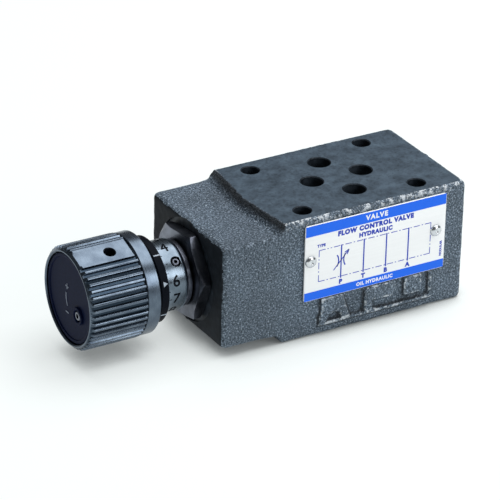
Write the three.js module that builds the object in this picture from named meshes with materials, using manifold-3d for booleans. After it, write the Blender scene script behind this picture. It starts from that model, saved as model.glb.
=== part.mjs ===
// Sandwich throttle valve for an ISO 4401-03 stack, one node per physical piece.
// Millimetres, +Z up. Origin: centre of the bolt rectangle on the bottom mounting face.
// X runs along the valve, with the knob at -X. The nameplate faces -Y.
import * as THREE from 'three';
import { mergeVertices } from 'three/addons/utils/BufferGeometryUtils.js';
import Module from 'manifold-3d';

const wasm = await Module();
wasm.setup();

// Driving dimensions
const gap = 0.3; // between neighbouring pieces
const bodyHeight = 40;
const bodyHalfWidth = 22;
const bodyRightX = 34.5;
const bodyLeftX = -51;
const padLeftX = -31.8; // left edge of the ground faces, at the parting plane
const stepDepth = 3.1; // how far the cast end stands below the ground faces
const stepRun = 2.2; // length of the slope between them
const draft = Math.tan(THREE.MathUtils.degToRad(6));
const axisZ = 20.5; // height of the throttle bore
const boltHoles = [[-20.25, -15.5], [20.25, -15.5], [20.25, 16.25], [-20.25, 15.5]];
const boltHoleR = 2.75;
const portR = 3.5;
const ports = { p: [1.25, 10.4], t: [1.25, -10.4], a: [-7.55, 0], b: [9.95, 0] };
const sealSeatR = 6.1; // counterbore for a port seal
const sealSeatDepth = 1.6;

const boreR = 6; // fine bore that holds the throttle sleeve
const boreEndX = 5.4;
const springBoreR = 7;
const springBoreX = -18.3; // where the spring bore steps down to the fine bore
const threadBoreR = 10.8;
const threadBoreX = -36.7;
const spotFaceR = 16.2;
const spotFaceX = -50.3;
const portPBlindZ = 17; // port P is blind: the throttle joins its two ends
const portPTopZ = 24;
const pumpChamber = [[-2.4, 0.1], [4, 9], [14, 18]]; // joins the bore to port P from below
const valveChamber = [[1.9, 4.3], [4, 9], [23, 27]]; // and from above

const plateX = [-23.3, 26.7];
const plateZ = [12.9, 38.2];
const plateThickness = 0.5;
const pinXs = [-21.3, 23.2];
const pinZ = 26.3;
const pinHoleR = 1.2;
const pinShankR = 0.9;
const pinHoleDepth = 3;

const knobR = 16;
const knobBandR = 15.8; // smooth band behind the ridges
const knobChamfer = 1.1;
const knobChamferR = 13.2;
const knobRecessR = 14.2;
const knobRecessDepth = 2.2;
const knobFrontX = -91.2;
const knobRidgeEndX = -72.2;
const knobRearX = -68;
const knobNeckR = 12.3;
const knobNeckEndX = -64.2;
const knobCavityR = 11.6;
const knobCavityX = -77;
const ridgeCount = 48;
const ridgeDepth = 0.7;
const ridgeCrestAngle = 51.2; // degrees from +Z towards -Y, to the middle of one ridge
const ridgeMiddle = 0.65; // share of the pitch at which a ridge has its middle
const flatAngle = 17; // degrees from +Z towards -Y
const flatR = 15.5;
const flatHalfAngle = 14;
const setScrewX = -79.4;
const setScrewHoleR = 1.7;
const setScrewR = 1.4;
const capScrewPlace = [-5.7, axisZ - 3.2];
const capScrewHoleR = 1.8;
const capScrewR = 1.5;
const capFaceX = -90.6;
const capBackX = -89.3;
const capR = 13.9;
const stemR = 4;
const stemFrontX = -87;
const stemShoulderX = -70; // where the plain end that carries the knob meets the thread
const stemThreadR = 4.9;
const stemThreadEndX = -52;
const stemPlainR = 4.2;
const stemTipX = -33.6;
const barrelR = 11;
const barrelBoreR = 8.7;
const barrelX = [-70, -56.5];
const barrelScrewX = -58.8;
const barrelScrewAngle = 43;
const barrelScrewHoleR = 1.5;
const barrelScrewR = 1.2;
const glandHexX = [-54.1, -50.6];
const glandHexR = 15.2; // across corners
const glandHexTurn = 23.5; // degrees from +Z towards -Y
const glandEndX = -37.2;
const glandNeckR = 8.4;
const glandUndercut = [2.2, 8.7]; // length and radius, behind the hexagon
const glandShankR = 10.5;
const glandThreadBoreR = 5.2;
const glandThreadEndX = -45.9;
const glandPlainBoreR = 4.5;
const glandGrooveX = [-43.4, -40.2]; // groove for the stem seal and its backup ring
const glandGrooveR = 6.2;

const sleeveX = [-18, 5.1];
const sleeveLandR = boreR - gap;
const sleeveWaistR = boreR - 1.3;
const sleeveBoreR = boreR - 2.3;
const sleeveSeatR = 2.7; // sharp edge that the spool's cone closes
const sleeveSeatX = 0.9;
const crossHoleR = 1.1;
const crossHoleXs = [-1.1, 3.1];
const spoolX = [-33.3, -0.5];
const spoolHeadR = 5.2;
const spoolStemR = 2.2;
const spoolGuideR = 3.4;
const spoolConeR = [2.4, 0.9];
const springX = [-30.2, -18.8];

const finishes = {
  castIron: [0x4a5058, 0.75, 0.35],
  blackOxide: [0x2e2826, 0.4, 0.8],
  anodised: [0x2c3848, 0.35, 0.7],
  plateSilver: [0xdfe4ea, 0.4, 0.6],
  steel: [0xb8bcc0, 0.3, 1],
  rubber: [0x16181a, 0.8, 0],
  plastic: [0x14181f, 0.5, 0],
};

function toSolid(geometry) {
  const plain = geometry.clone();
  for (const name of Object.keys(plain.attributes)) {
    if (name !== 'position') plain.deleteAttribute(name);
  }
  const merged = mergeVertices(plain, 1e-4);
  const points = merged.attributes.position;
  const corners = [];
  const [a, b, c] = [new THREE.Vector3(), new THREE.Vector3(), new THREE.Vector3()];
  let volume = 0;
  for (let i = 0; i < merged.index.count; i += 3) {
    const [i0, i1, i2] = merged.index.array.slice(i, i + 3);
    if (i0 === i1 || i1 === i2 || i2 === i0) continue;
    corners.push(i0, i1, i2);
    volume += a.fromBufferAttribute(points, i0)
      .dot(b.fromBufferAttribute(points, i1).cross(c.fromBufferAttribute(points, i2)));
  }
  if (volume < 0) corners.reverse();
  return new wasm.Manifold(new wasm.Mesh({
    numProp: 3,
    vertProperties: new Float32Array(points.array),
    triVerts: new Uint32Array(corners),
  }));
}

function toGeometry(solid) {
  const mesh = solid.getMesh();
  const geometry = new THREE.BufferGeometry();
  geometry.setAttribute('position', new THREE.BufferAttribute(mesh.vertProperties, 3));
  geometry.setIndex(new THREE.BufferAttribute(mesh.triVerts, 1));
  geometry.computeVertexNormals();
  return geometry;
}

// A solid of revolution about the valve's axis. Profile points are [x, radius]; a profile
// that doesn't start and end on the axis closes on itself and gives a ring.
function turned(profile, segments = 36, y = 0, z = axisZ) {
  const points = profile.map(([x, r]) => new THREE.Vector2(r, x));
  const onAxis = profile[0][1] === 0 && profile.at(-1)[1] === 0;
  if (!onAxis) points.push(points[0].clone());
  const geometry = new THREE.LatheGeometry(points, segments);
  geometry.rotateZ(-Math.PI / 2);
  geometry.translate(0, y, z);
  return toSolid(geometry);
}

function disc(x0, x1, r, segments, y, z) {
  return turned([[x0, 0], [x0, r], [x1, r], [x1, 0]], segments, y, z);
}

function tube(x0, x1, inner, outer, segments) {
  return turned([[x0, inner], [x0, outer], [x1, outer], [x1, inner]], segments);
}

// A rod between two points
function rod(from, to, r, segments = 20) {
  const start = new THREE.Vector3(...from);
  const along = new THREE.Vector3(...to).sub(start);
  const geometry = new THREE.CylinderGeometry(r, r, along.length(), segments);
  const turn = new THREE.Quaternion().setFromUnitVectors(
    new THREE.Vector3(0, 1, 0), along.clone().normalize());
  geometry.applyQuaternion(turn);
  const middle = start.addScaledVector(along, 0.5);
  geometry.translate(middle.x, middle.y, middle.z);
  return toSolid(geometry);
}

function block([x0, x1], [y0, y1], [z0, z1]) {
  const geometry = new THREE.BoxGeometry(x1 - x0, y1 - y0, z1 - z0);
  geometry.translate((x0 + x1) / 2, (y0 + y1) / 2, (z0 + z1) / 2);
  return toSolid(geometry);
}

// A seal ring of rounded section about the valve's axis
function sealRing(x0, x1, inner, outer) {
  const [halfWide, halfTall] = [(x1 - x0) / 2, (outer - inner) / 2];
  const section = [];
  for (let i = 0; i < 6; i += 1) {
    const angle = (i + 0.5) * Math.PI / 3;
    section.push([
      (x0 + x1) / 2 + halfWide * Math.cos(angle),
      (inner + outer) / 2 + halfTall * Math.sin(angle),
    ]);
  }
  return turned(section, 24);
}

// A direction square to the valve's axis, in degrees from +Z towards -Y
function radial(degrees, r) {
  const angle = THREE.MathUtils.degToRad(degrees);
  return [-r * Math.sin(angle), axisZ + r * Math.cos(angle)];
}

// Outline of the casting in XZ, extruded across Y and tapered from the parting plane y = 0
function casting() {
  const lowZ = stepDepth;
  const highZ = bodyHeight - stepDepth;
  const stepX = padLeftX - stepRun;
  const outline = new THREE.Shape([
    [bodyRightX, 0], [bodyRightX, bodyHeight], [padLeftX, bodyHeight], [stepX, highZ],
    [bodyLeftX, highZ], [bodyLeftX, lowZ], [stepX, lowZ], [padLeftX, 0],
  ].map(([x, z]) => new THREE.Vector2(x, z)));
  const geometry = new THREE.ExtrudeGeometry(outline, {
    depth: 2 * bodyHalfWidth, steps: 2, bevelEnabled: false,
  });
  geometry.rotateX(Math.PI / 2);
  geometry.translate(0, bodyHalfWidth, 0);
  const points = geometry.attributes.position;
  for (let i = 0; i < points.count; i += 1) {
    const taper = draft * Math.abs(points.getY(i));
    if (points.getX(i) < 0 && points.getX(i) > bodyLeftX + 1) {
      points.setX(i, points.getX(i) + taper);
    } else if (points.getX(i) < 0) {
      points.setX(i, points.getX(i) + taper / 2);
    }
  }
  return toSolid(geometry);
}

function valveBody() {
  const cuts = [
    turned([
      [bodyLeftX - 3, 0], [bodyLeftX - 3, spotFaceR], [spotFaceX, spotFaceR],
      [spotFaceX, threadBoreR], [threadBoreX, threadBoreR], [threadBoreX + 2, springBoreR],
      [springBoreX, springBoreR], [springBoreX + 0.6, boreR], [boreEndX, boreR], [boreEndX, 0],
    ], 40),
    block(...pumpChamber),
    block(...valveChamber),
    rod([...ports.p, -1], [...ports.p, portPBlindZ], portR, 28),
    rod([...ports.p, portPTopZ], [...ports.p, bodyHeight + 1], portR, 28),
  ];
  for (const name of ['t', 'a', 'b']) {
    cuts.push(rod([...ports[name], -1], [...ports[name], bodyHeight + 1], portR, 28));
  }
  for (const place of Object.values(ports)) {
    cuts.push(rod([...place, -1], [...place, sealSeatDepth], sealSeatR, 36));
  }
  for (const place of boltHoles) {
    cuts.push(rod([...place, -1], [...place, bodyHeight + 1], boltHoleR));
  }
  for (const x of pinXs) {
    const holeEnd = -bodyHalfWidth + pinHoleDepth;
    cuts.push(rod([x, -bodyHalfWidth - 1, pinZ], [x, holeEnd, pinZ], pinHoleR, 16));
  }
  return cuts.reduce((body, cut) => body.subtract(cut), casting());
}

function nameplate() {
  const front = -bodyHalfWidth - gap - plateThickness;
  let plate = block(plateX, [front, -bodyHalfWidth - gap], plateZ);
  for (const x of pinXs) {
    plate = plate.subtract(rod([x, front - 1, pinZ], [x, -bodyHalfWidth, pinZ], pinHoleR, 16));
  }
  return plate;
}

// Round-head drive pin that holds the nameplate
function platePin(x) {
  const seat = -bodyHalfWidth - 2 * gap - plateThickness;
  const dome = new THREE.LatheGeometry([
    [0, 0], [1.9, 0], [1.6, 0.6], [0.9, 0.95], [0, 1.05],
  ].map(([r, height]) => new THREE.Vector2(r, height)), 24);
  dome.rotateX(Math.PI);
  dome.translate(x, seat, pinZ);
  const shankEnd = -bodyHalfWidth + pinHoleDepth - 0.4;
  const shank = rod([x, seat - 0.3, pinZ], [x, shankEnd, pinZ], pinShankR, 16);
  return toSolid(dome).add(shank);
}

// Port seal, as squeezed level with the mounting face
function portSeal([x, y]) {
  const geometry = new THREE.LatheGeometry([
    [4.2, 0.65], [4.5, 0], [5.5, 0], [5.8, 0.65], [5.5, 1.3], [4.5, 1.3], [4.2, 0.65],
  ].map(([r, height]) => new THREE.Vector2(r, height)), 28);
  geometry.rotateX(Math.PI / 2);
  geometry.translate(x, y, 0);
  return toSolid(geometry);
}

// Screwed gland: hexagon in the spot face, thread in the body, neck that carries the scale
function hexGland() {
  const corners = [];
  for (let i = 0; i < 6; i += 1) {
    const [y, z] = radial(glandHexTurn + 60 * i, glandHexR + 0.6);
    corners.push(new THREE.Vector2(-(z), y));
  }
  const hexagon = new THREE.ExtrudeGeometry(new THREE.Shape(corners), {
    depth: glandHexX[1] - glandHexX[0], bevelEnabled: false,
  });
  hexagon.rotateY(Math.PI / 2);
  hexagon.translate(glandHexX[0], 0, 0);
  const chamfered = turned([
    [glandHexX[0], 0], [glandHexX[0], glandHexR - 2.4], [glandHexX[0] + 1.2, glandHexR],
    [glandHexX[1], glandHexR], [glandHexX[1], 0],
  ], 48).intersect(toSolid(hexagon));
  const neckX = barrelX[0] + 1;
  const [undercutLength, undercutR] = glandUndercut;
  const undercutX = glandHexX[1] + undercutLength;
  const shank = turned([
    [neckX, 0], [neckX, glandNeckR], [glandHexX[1], glandNeckR], [glandHexX[1], undercutR],
    [undercutX, undercutR], [undercutX, glandShankR], [glandEndX, glandShankR], [glandEndX, 0],
  ]);
  const [grooveX0, grooveX1] = glandGrooveX;
  const hollow = turned([
    [barrelX[0], 0], [barrelX[0], glandThreadBoreR], [glandThreadEndX, glandThreadBoreR],
    [glandThreadEndX, glandPlainBoreR], [grooveX0, glandPlainBoreR], [grooveX0, glandGrooveR],
    [grooveX1, glandGrooveR], [grooveX1, glandPlainBoreR], [glandEndX + 1, glandPlainBoreR],
    [glandEndX + 1, 0],
  ]);
  return chamfered.add(shank).subtract(hollow);
}

// Sleeve of the throttle: port A flows round its waist, port P through its cross holes
function throttleSleeve() {
  const [start, end] = sleeveX;
  const waists = [[-16.6, -14.9], [-13.9, -12.2], [-11.6, -3.9], [-2.7, 0.4], [1.6, 4.6]];
  const outline = [[start, sleeveBoreR], [start, sleeveLandR]];
  for (const [x0, x1] of waists) {
    outline.push([x0, sleeveLandR], [x0, sleeveWaistR], [x1, sleeveWaistR], [x1, sleeveLandR]);
  }
  outline.push([end, sleeveLandR], [end, sleeveSeatR], [sleeveSeatX, sleeveSeatR],
    [sleeveSeatX, sleeveBoreR]);
  let sleeve = turned(outline, 24);
  for (const x of crossHoleXs) {
    sleeve = sleeve.subtract(rod([x, -boreR, axisZ], [x, boreR, axisZ], crossHoleR, 10));
    sleeve = sleeve.subtract(rod([x, 0, axisZ - boreR], [x, 0, axisZ + boreR], crossHoleR, 10));
  }
  return sleeve;
}

function throttleSpool() {
  const [start, end] = spoolX;
  const [headEnd, guideStart, guideEnd, coneStart] = [-31, -16, -8.2, -4];
  const [coneR, tipR] = spoolConeR;
  return turned([
    [start, 0], [start, spoolHeadR], [headEnd, spoolHeadR], [headEnd, spoolStemR],
    [guideStart, spoolStemR], [guideStart, spoolGuideR], [guideEnd, spoolGuideR],
    [guideEnd, coneR], [coneStart, coneR], [end, tipR], [end, 0],
  ], 24);
}

// Coil spring: a round wire swept along a helix
function returnSpring() {
  const [start, end] = springX;
  const [coilR, wireR, turns, stepsPerTurn] = [3.9, 0.45, 5.5, 14];
  const points = [];
  for (let i = 0; i <= turns * stepsPerTurn; i += 1) {
    const share = i / (turns * stepsPerTurn);
    const [y, z] = radial(360 * turns * share, coilR);
    points.push(new THREE.Vector3(start + (end - start) * share, y, z));
  }
  const wire = new THREE.Shape();
  wire.absarc(0, 0, wireR, 0, 2 * Math.PI);
  return toSolid(new THREE.ExtrudeGeometry(wire, {
    extrudePath: new THREE.CatmullRomCurve3(points), steps: turns * stepsPerTurn,
    curveSegments: 3, bevelEnabled: false,
  }));
}

function adjustingStem() {
  return turned([
    [stemFrontX, 0], [stemFrontX, stemR], [stemShoulderX, stemR], [stemShoulderX, stemThreadR],
    [stemThreadEndX, stemThreadR], [stemThreadEndX, stemPlainR], [stemTipX, stemPlainR],
    [stemTipX, 0],
  ], 24);
}

// Ridged skin of the knob, before it is turned to its envelope
function ridgedBar() {
  const outline = [];
  const pitch = 360 / ridgeCount;
  for (let i = 0; i < ridgeCount; i += 1) {
    for (const [share, depth] of [[0, ridgeDepth], [0.3, ridgeDepth], [0.45, 0], [0.85, 0]]) {
      const angle = ridgeCrestAngle + (i + share - ridgeMiddle) * pitch;
      const fromFlat = THREE.MathUtils.euclideanModulo(angle - flatAngle + 180, 360) - 180;
      const onFlat = Math.abs(fromFlat) < flatHalfAngle;
      const [y, z] = radial(angle, onFlat ? knobR : knobR - depth);
      outline.push(new THREE.Vector2(-z, y));
    }
  }
  const bar = new THREE.ExtrudeGeometry(new THREE.Shape(outline), {
    depth: knobRidgeEndX - knobFrontX, bevelEnabled: false,
  });
  bar.rotateY(Math.PI / 2);
  bar.translate(knobFrontX, 0, 0);
  return toSolid(bar);
}

// Cutter that planes the knob's smooth pad flat
function flatCutter() {
  const [width, height] = [12, 3];
  const cutter = new THREE.BoxGeometry(knobRidgeEndX - knobFrontX + 1, width, height);
  cutter.translate((knobRidgeEndX + knobFrontX - 1) / 2, 0, flatR + height / 2);
  cutter.rotateX(THREE.MathUtils.degToRad(flatAngle));
  cutter.translate(0, 0, axisZ);
  return toSolid(cutter);
}

function knob() {
  const rear = turned([
    [knobRidgeEndX - 0.5, 0], [knobRidgeEndX - 0.5, knobBandR], [knobRearX, knobBandR],
    [knobRearX + knobChamfer, knobChamferR], [knobRearX + knobChamfer, knobNeckR],
    [knobNeckEndX, knobNeckR], [knobNeckEndX, 0],
  ], 60);
  const cuts = [
    flatCutter(),
    disc(knobCavityX, knobNeckEndX + 1, knobCavityR, 40),
    disc(knobFrontX - 1, knobFrontX + knobRecessDepth, knobRecessR, 40),
    disc(stemFrontX - gap, knobCavityX + 1, stemR + gap, 24),
    disc(knobFrontX, stemFrontX + 1, capScrewHoleR, 16, ...capScrewPlace),
    rod([setScrewX, ...radial(flatAngle, stemR)], [setScrewX, ...radial(flatAngle, knobR + 4)],
      setScrewHoleR, 16),
  ];
  return cuts.reduce((body, cut) => body.subtract(cut), ridgedBar().add(rear));
}

function knobCap() {
  const [bossR, bossHeight] = [2.8, 0.4];
  return turned([
    [capFaceX, 0], [capFaceX, capR - 0.4], [capFaceX + 0.3, capR], [capBackX, capR],
    [capBackX, 0],
  ], 40)
    .add(disc(capFaceX - bossHeight, capFaceX + 0.1, bossR, 24, ...capScrewPlace))
    .subtract(disc(capFaceX - 1.4, capBackX + gap, capScrewHoleR, 16, ...capScrewPlace));
}

// Grub screw with a hexagon socket in its outer end
function grubScrew(from, to, r) {
  const socketEnd = new THREE.Vector3(...to).lerp(new THREE.Vector3(...from), 0.35);
  const beyond = new THREE.Vector3(...to).lerp(new THREE.Vector3(...from), -0.2);
  return rod(from, to, r, 16).subtract(rod(socketEnd.toArray(), beyond.toArray(), r * 0.5, 6));
}

const setScrewEnds = [stemR + gap, 12.5].map((r) => [setScrewX, ...radial(flatAngle, r)]);
const capScrewEnds = [-86.3, -90.8].map((x) => [x, ...capScrewPlace]);
const barrelScrewEnds = [barrelBoreR, barrelR - 0.2]
  .map((r) => [barrelScrewX, ...radial(barrelScrewAngle, r)]);

function scaleBarrel() {
  const [from, to] = [barrelBoreR - 2, barrelR + 2]
    .map((r) => [barrelScrewX, ...radial(barrelScrewAngle, r)]);
  return tube(...barrelX, barrelBoreR, barrelR, 48).subtract(rod(from, to, barrelScrewHoleR, 16));
}

const body = [
  ['valve_body', 'castIron', valveBody()],
  ['nameplate', 'plateSilver', nameplate()],
  ['nameplate_pin_left', 'steel', platePin(pinXs[0])],
  ['nameplate_pin_right', 'steel', platePin(pinXs[1])],
  ['port_p_o_ring', 'rubber', portSeal(ports.p)],
  ['port_t_o_ring', 'rubber', portSeal(ports.t)],
  ['port_a_o_ring', 'rubber', portSeal(ports.a)],
  ['port_b_o_ring', 'rubber', portSeal(ports.b)],
  ['hex_gland', 'blackOxide', hexGland()],
  ['gland_o_ring', 'rubber', sealRing(-50, -48.7, 9, 10.5)],
  ['stem_o_ring', 'rubber', sealRing(-43.1, -41.7, 4.5, 5.9)],
  ['stem_backup_ring', 'plastic', tube(-41.4, -40.5, 4.5, 5.9, 24)],
  ['scale_barrel', 'anodised', scaleBarrel()],
  ['barrel_grub_screw', 'steel', grubScrew(...barrelScrewEnds, barrelScrewR)],
  ['barrel_lock_ring', 'blackOxide', tube(barrelX[1] + gap, glandHexX[0] - gap, barrelBoreR, 10.4, 36)],
  ['throttle_sleeve', 'steel', throttleSleeve()],
  ['sleeve_o_ring_rear', 'rubber', sealRing(-16.3, -15.2, 5, 5.9)],
  ['sleeve_o_ring_front', 'rubber', sealRing(-13.6, -12.5, 5, 5.9)],
];
const slider = [
  ['throttle_spool', 'steel', throttleSpool()],
  ['return_spring', 'steel', returnSpring()],
];
const turning = [
  ['adjusting_stem', 'steel', adjustingStem()],
  ['stem_stop_ring', 'steel', tube(-34.9, -34.1, 4.5, 5.6, 24)],
  ['knob', 'anodised', knob()],
  ['knob_cap', 'plastic', knobCap()],
  ['knob_set_screw', 'steel', grubScrew(...setScrewEnds, setScrewR)],
  ['cap_screw', 'steel', grubScrew(...capScrewEnds, capScrewR)],
  ['index_ring', 'plastic', tube(knobRearX + 1.4, knobNeckEndX + 0.3, 12.6, 13.4, 48)],
];

function assembly(name, pieces) {
  const group = new THREE.Group();
  group.name = name;
  for (const [node, finish, solid] of pieces) {
    const [color, roughness, metalness] = finishes[finish];
    const material = new THREE.MeshStandardMaterial({ color, roughness, metalness });
    const mesh = new THREE.Mesh(toGeometry(solid), material);
    mesh.name = node;
    group.add(mesh);
  }
  return group;
}

const valve = new THREE.Group();
valve.name = 'flow_control_valve';
const spoolGroup = assembly('spool_group', slider);
spoolGroup.add(assembly('knob_group', turning));
valve.add(assembly('body_group', body), spoolGroup);

export default valve;
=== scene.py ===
import math

import bmesh
import bpy
from mathutils import Matrix, Vector, noise


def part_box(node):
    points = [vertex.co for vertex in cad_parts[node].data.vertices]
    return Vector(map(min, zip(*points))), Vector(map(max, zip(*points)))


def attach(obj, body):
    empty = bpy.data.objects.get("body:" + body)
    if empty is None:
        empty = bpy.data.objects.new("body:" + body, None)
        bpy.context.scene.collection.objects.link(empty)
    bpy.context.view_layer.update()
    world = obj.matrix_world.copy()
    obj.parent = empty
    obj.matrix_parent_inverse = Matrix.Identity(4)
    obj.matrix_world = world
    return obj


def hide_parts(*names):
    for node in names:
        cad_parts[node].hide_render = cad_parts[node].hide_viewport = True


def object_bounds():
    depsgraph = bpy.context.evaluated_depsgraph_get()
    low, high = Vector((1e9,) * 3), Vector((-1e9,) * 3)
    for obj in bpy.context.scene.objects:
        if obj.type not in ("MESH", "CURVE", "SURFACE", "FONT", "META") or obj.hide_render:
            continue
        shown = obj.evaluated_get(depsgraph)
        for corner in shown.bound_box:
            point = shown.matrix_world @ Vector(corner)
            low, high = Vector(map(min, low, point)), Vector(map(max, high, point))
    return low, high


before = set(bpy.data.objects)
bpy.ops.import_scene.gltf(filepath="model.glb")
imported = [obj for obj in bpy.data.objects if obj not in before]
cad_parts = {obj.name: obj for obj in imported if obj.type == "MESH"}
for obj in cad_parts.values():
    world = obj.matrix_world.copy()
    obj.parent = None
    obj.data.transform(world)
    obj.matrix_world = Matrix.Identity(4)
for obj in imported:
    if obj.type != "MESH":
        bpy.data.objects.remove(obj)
cadLow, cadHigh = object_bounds()
print("frame loaded,", len(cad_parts), "nodes")

mm = 0.001
bodyLow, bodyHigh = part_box("valve_body")
knobLow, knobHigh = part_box("knob")
barrelLow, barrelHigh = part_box("scale_barrel")
glandLow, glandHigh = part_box("hex_gland")
ringLow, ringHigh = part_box("index_ring")
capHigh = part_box("knob_cap")[1]
plateLow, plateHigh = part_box("nameplate")
stemLow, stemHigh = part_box("adjusting_stem")
axisHeight = (stemLow.z + stemHigh.z) / 2
axisPoint = Vector((0, 0, axisHeight))
alongX = Vector((1, 0, 0))


def linear(hexText):
    # sRGB hex to the linear colour that the shaders take
    parts = [int(hexText[i:i + 2], 16) / 255 for i in (1, 3, 5)]
    return [p / 12.92 if p <= 0.04045 else ((p + 0.055) / 1.055) ** 2.4 for p in parts] + [1.0]


def addNode(tree, kind, settings=None, inputs=None, stops=None):
    node = tree.nodes.new(kind)
    for name, value in (settings or {}).items():
        setattr(node, name, value)
    for name, value in (inputs or {}).items():
        if isinstance(value, bpy.types.NodeSocket):
            tree.links.new(value, node.inputs[name])
        else:
            node.inputs[name].default_value = value
    for i, (place, colour) in enumerate(stops or []):
        ramp = node.color_ramp.elements
        stop = ramp[i] if i < len(ramp) else ramp.new(place)
        stop.position = place
        stop.color = linear(colour) if isinstance(colour, str) else (colour, colour, colour, 1)
    return node


def newMaterial(name, metallic=0.0, roughness=0.5, ior=None, specular=None):
    # an empty material with its shader, and the object-space place of each point
    material = bpy.data.materials.new(name)
    material.use_nodes = True
    tree = material.node_tree
    shader = tree.nodes["Principled BSDF"]
    shader.inputs["Metallic"].default_value = metallic
    shader.inputs["Roughness"].default_value = roughness
    if ior:
        shader.inputs["IOR"].default_value = ior
    if specular is not None:
        shader.inputs["Specular IOR Level"].default_value = specular
    place = addNode(tree, "ShaderNodeTexCoord").outputs["Object"]
    return material, tree, shader, place


def castIron():
    # grey iron, sand cast and manganese phosphated: a coarse speckle of dark pits and
    # pale grit, with ground-bright metal and painted glints on sharp edges, and painted shade in hollows
    material, tree, shader, place = newMaterial("phosphatedCastIron", metallic=0.25)
    grit = addNode(tree, "ShaderNodeTexNoise", {}, {
        "Vector": place, "Scale": 1 / (0.55 * mm), "Detail": 4.0, "Roughness": 0.65})
    pits = addNode(tree, "ShaderNodeTexVoronoi", {}, {
        "Vector": place, "Scale": 1 / (0.6 * mm), "Randomness": 1.0})
    stain = addNode(tree, "ShaderNodeTexNoise", {}, {
        "Vector": place, "Scale": 1 / (14 * mm), "Detail": 2.0})
    speckle = addNode(tree, "ShaderNodeValToRGB", {}, {"Fac": grit.outputs["Fac"]}, [
        (0.32, "#2c363f"), (0.48, "#4f5e6b"), (0.59, "#7d8d9f"), (0.7, "#c6d4e1")])
    cloud = addNode(tree, "ShaderNodeValToRGB", {}, {"Fac": stain.outputs["Fac"]}, [
        (0.35, 0.74), (0.65, 1.04)])
    toned = addNode(tree, "ShaderNodeMix", {"data_type": "RGBA", "blend_type": "MULTIPLY"}, {
        0: 1.0, 6: speckle.outputs["Color"], 7: cloud.outputs["Color"]})
    # wearAndGlint: worn bright metal and painted glints on sharp edges and on the fringe below the ground
    # faces
    wearAndGlint = addNode(tree, "ShaderNodeAttribute", {"attribute_name": "wearAndGlint"})
    flakes = addNode(tree, "ShaderNodeTexNoise", {}, {
        "Vector": place, "Scale": 1 / (1.5 * mm), "Detail": 3.0, "Roughness": 0.7})
    flakeEdge = addNode(tree, "ShaderNodeValToRGB", {}, {"Fac": flakes.outputs["Fac"]}, [
        (0.5, 0.0), (0.58, 1.0)])
    bright = addNode(tree, "ShaderNodeMath", {"operation": "MULTIPLY", "use_clamp": True}, {
        0: wearAndGlint.outputs["Fac"], 1: flakeEdge.outputs["Color"]})
    glintAndWear = addNode(tree, "ShaderNodeMix", {"data_type": "RGBA"}, {
        0: bright.outputs["Value"], 6: toned.outputs[2], 7: linear("#dfe6ec")})
    # shadeMask: painted shade in hollows, on the step and round the raised pads
    shadeMask = addNode(tree, "ShaderNodeAttribute", {"attribute_name": "shadeMask"})
    paintedShade = addNode(tree, "ShaderNodeMix", {"data_type": "RGBA"}, {
        0: shadeMask.outputs["Fac"], 6: glintAndWear.outputs[2], 7: linear("#14181c")})
    tree.links.new(paintedShade.outputs[2], shader.inputs["Base Color"])
    gloss = addNode(tree, "ShaderNodeMapRange", {}, {
        "Value": grit.outputs["Fac"], "From Min": 0.3, "From Max": 0.7,
        "To Min": 0.72, "To Max": 0.45})
    tree.links.new(gloss.outputs["Result"], shader.inputs["Roughness"])
    height = addNode(tree, "ShaderNodeMath", {"operation": "SUBTRACT"}, {
        0: grit.outputs["Fac"], 1: pits.outputs["Distance"]})
    bump = addNode(tree, "ShaderNodeBump", {}, {
        "Strength": 0.9, "Distance": 0.35 * mm, "Height": height.outputs["Value"]})
    tree.links.new(bump.outputs["Normal"], shader.inputs["Normal"])
    return material


def groundIron():
    # the same iron ground flat, then phosphated: blue grey, close mottling, low gloss
    material, tree, shader, place = newMaterial("groundIron", metallic=0.3, roughness=0.5, specular=0.3)
    mottle = addNode(tree, "ShaderNodeTexNoise", {}, {
        "Vector": place, "Scale": 1 / (5 * mm), "Detail": 5.0, "Roughness": 0.65})
    pores = addNode(tree, "ShaderNodeTexNoise", {}, {
        "Vector": place, "Scale": 1 / (0.9 * mm), "Detail": 3.0})
    tone = addNode(tree, "ShaderNodeValToRGB", {}, {"Fac": mottle.outputs["Fac"]}, [
        (0.3, "#35424e"), (0.5, "#475664"), (0.72, "#586a79")])
    speck = addNode(tree, "ShaderNodeValToRGB", {}, {"Fac": pores.outputs["Fac"]}, [
        (0.36, 0.7), (0.5, 1.0)])
    colour = addNode(tree, "ShaderNodeMix", {"data_type": "RGBA", "blend_type": "MULTIPLY"}, {
        0: 1.0, 6: tone.outputs["Color"], 7: speck.outputs["Color"]})
    tree.links.new(colour.outputs[2], shader.inputs["Base Color"])
    gloss = addNode(tree, "ShaderNodeMapRange", {}, {
        "Value": mottle.outputs["Fac"], "From Min": 0.3, "From Max": 0.7,
        "To Min": 0.42, "To Max": 0.56})
    tree.links.new(gloss.outputs["Result"], shader.inputs["Roughness"])
    bump = addNode(tree, "ShaderNodeBump", {}, {
        "Strength": 0.35, "Distance": 0.04 * mm, "Height": pores.outputs["Fac"]})
    tree.links.new(bump.outputs["Normal"], shader.inputs["Normal"])
    return material


def darkIron(name, pale, dark, roughness, metallic=0.2):
    # iron inside the bores and on the end face: oiled, near black, faint tool marks; the end face's still
    # darker copy is painted shade for the side that faces away from the lamps
    material, tree, shader, place = newMaterial(name, metallic, roughness, specular=0.15)
    film = addNode(tree, "ShaderNodeTexNoise", {}, {
        "Vector": place, "Scale": 1 / (2.5 * mm), "Detail": 4.0})
    tone = addNode(tree, "ShaderNodeValToRGB", {}, {"Fac": film.outputs["Fac"]}, [
        (0.35, dark), (0.65, pale)])
    tree.links.new(tone.outputs["Color"], shader.inputs["Base Color"])
    bump = addNode(tree, "ShaderNodeBump", {}, {
        "Strength": 0.3, "Distance": 0.05 * mm, "Height": film.outputs["Fac"]})
    tree.links.new(bump.outputs["Normal"], shader.inputs["Normal"])
    return material


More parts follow.
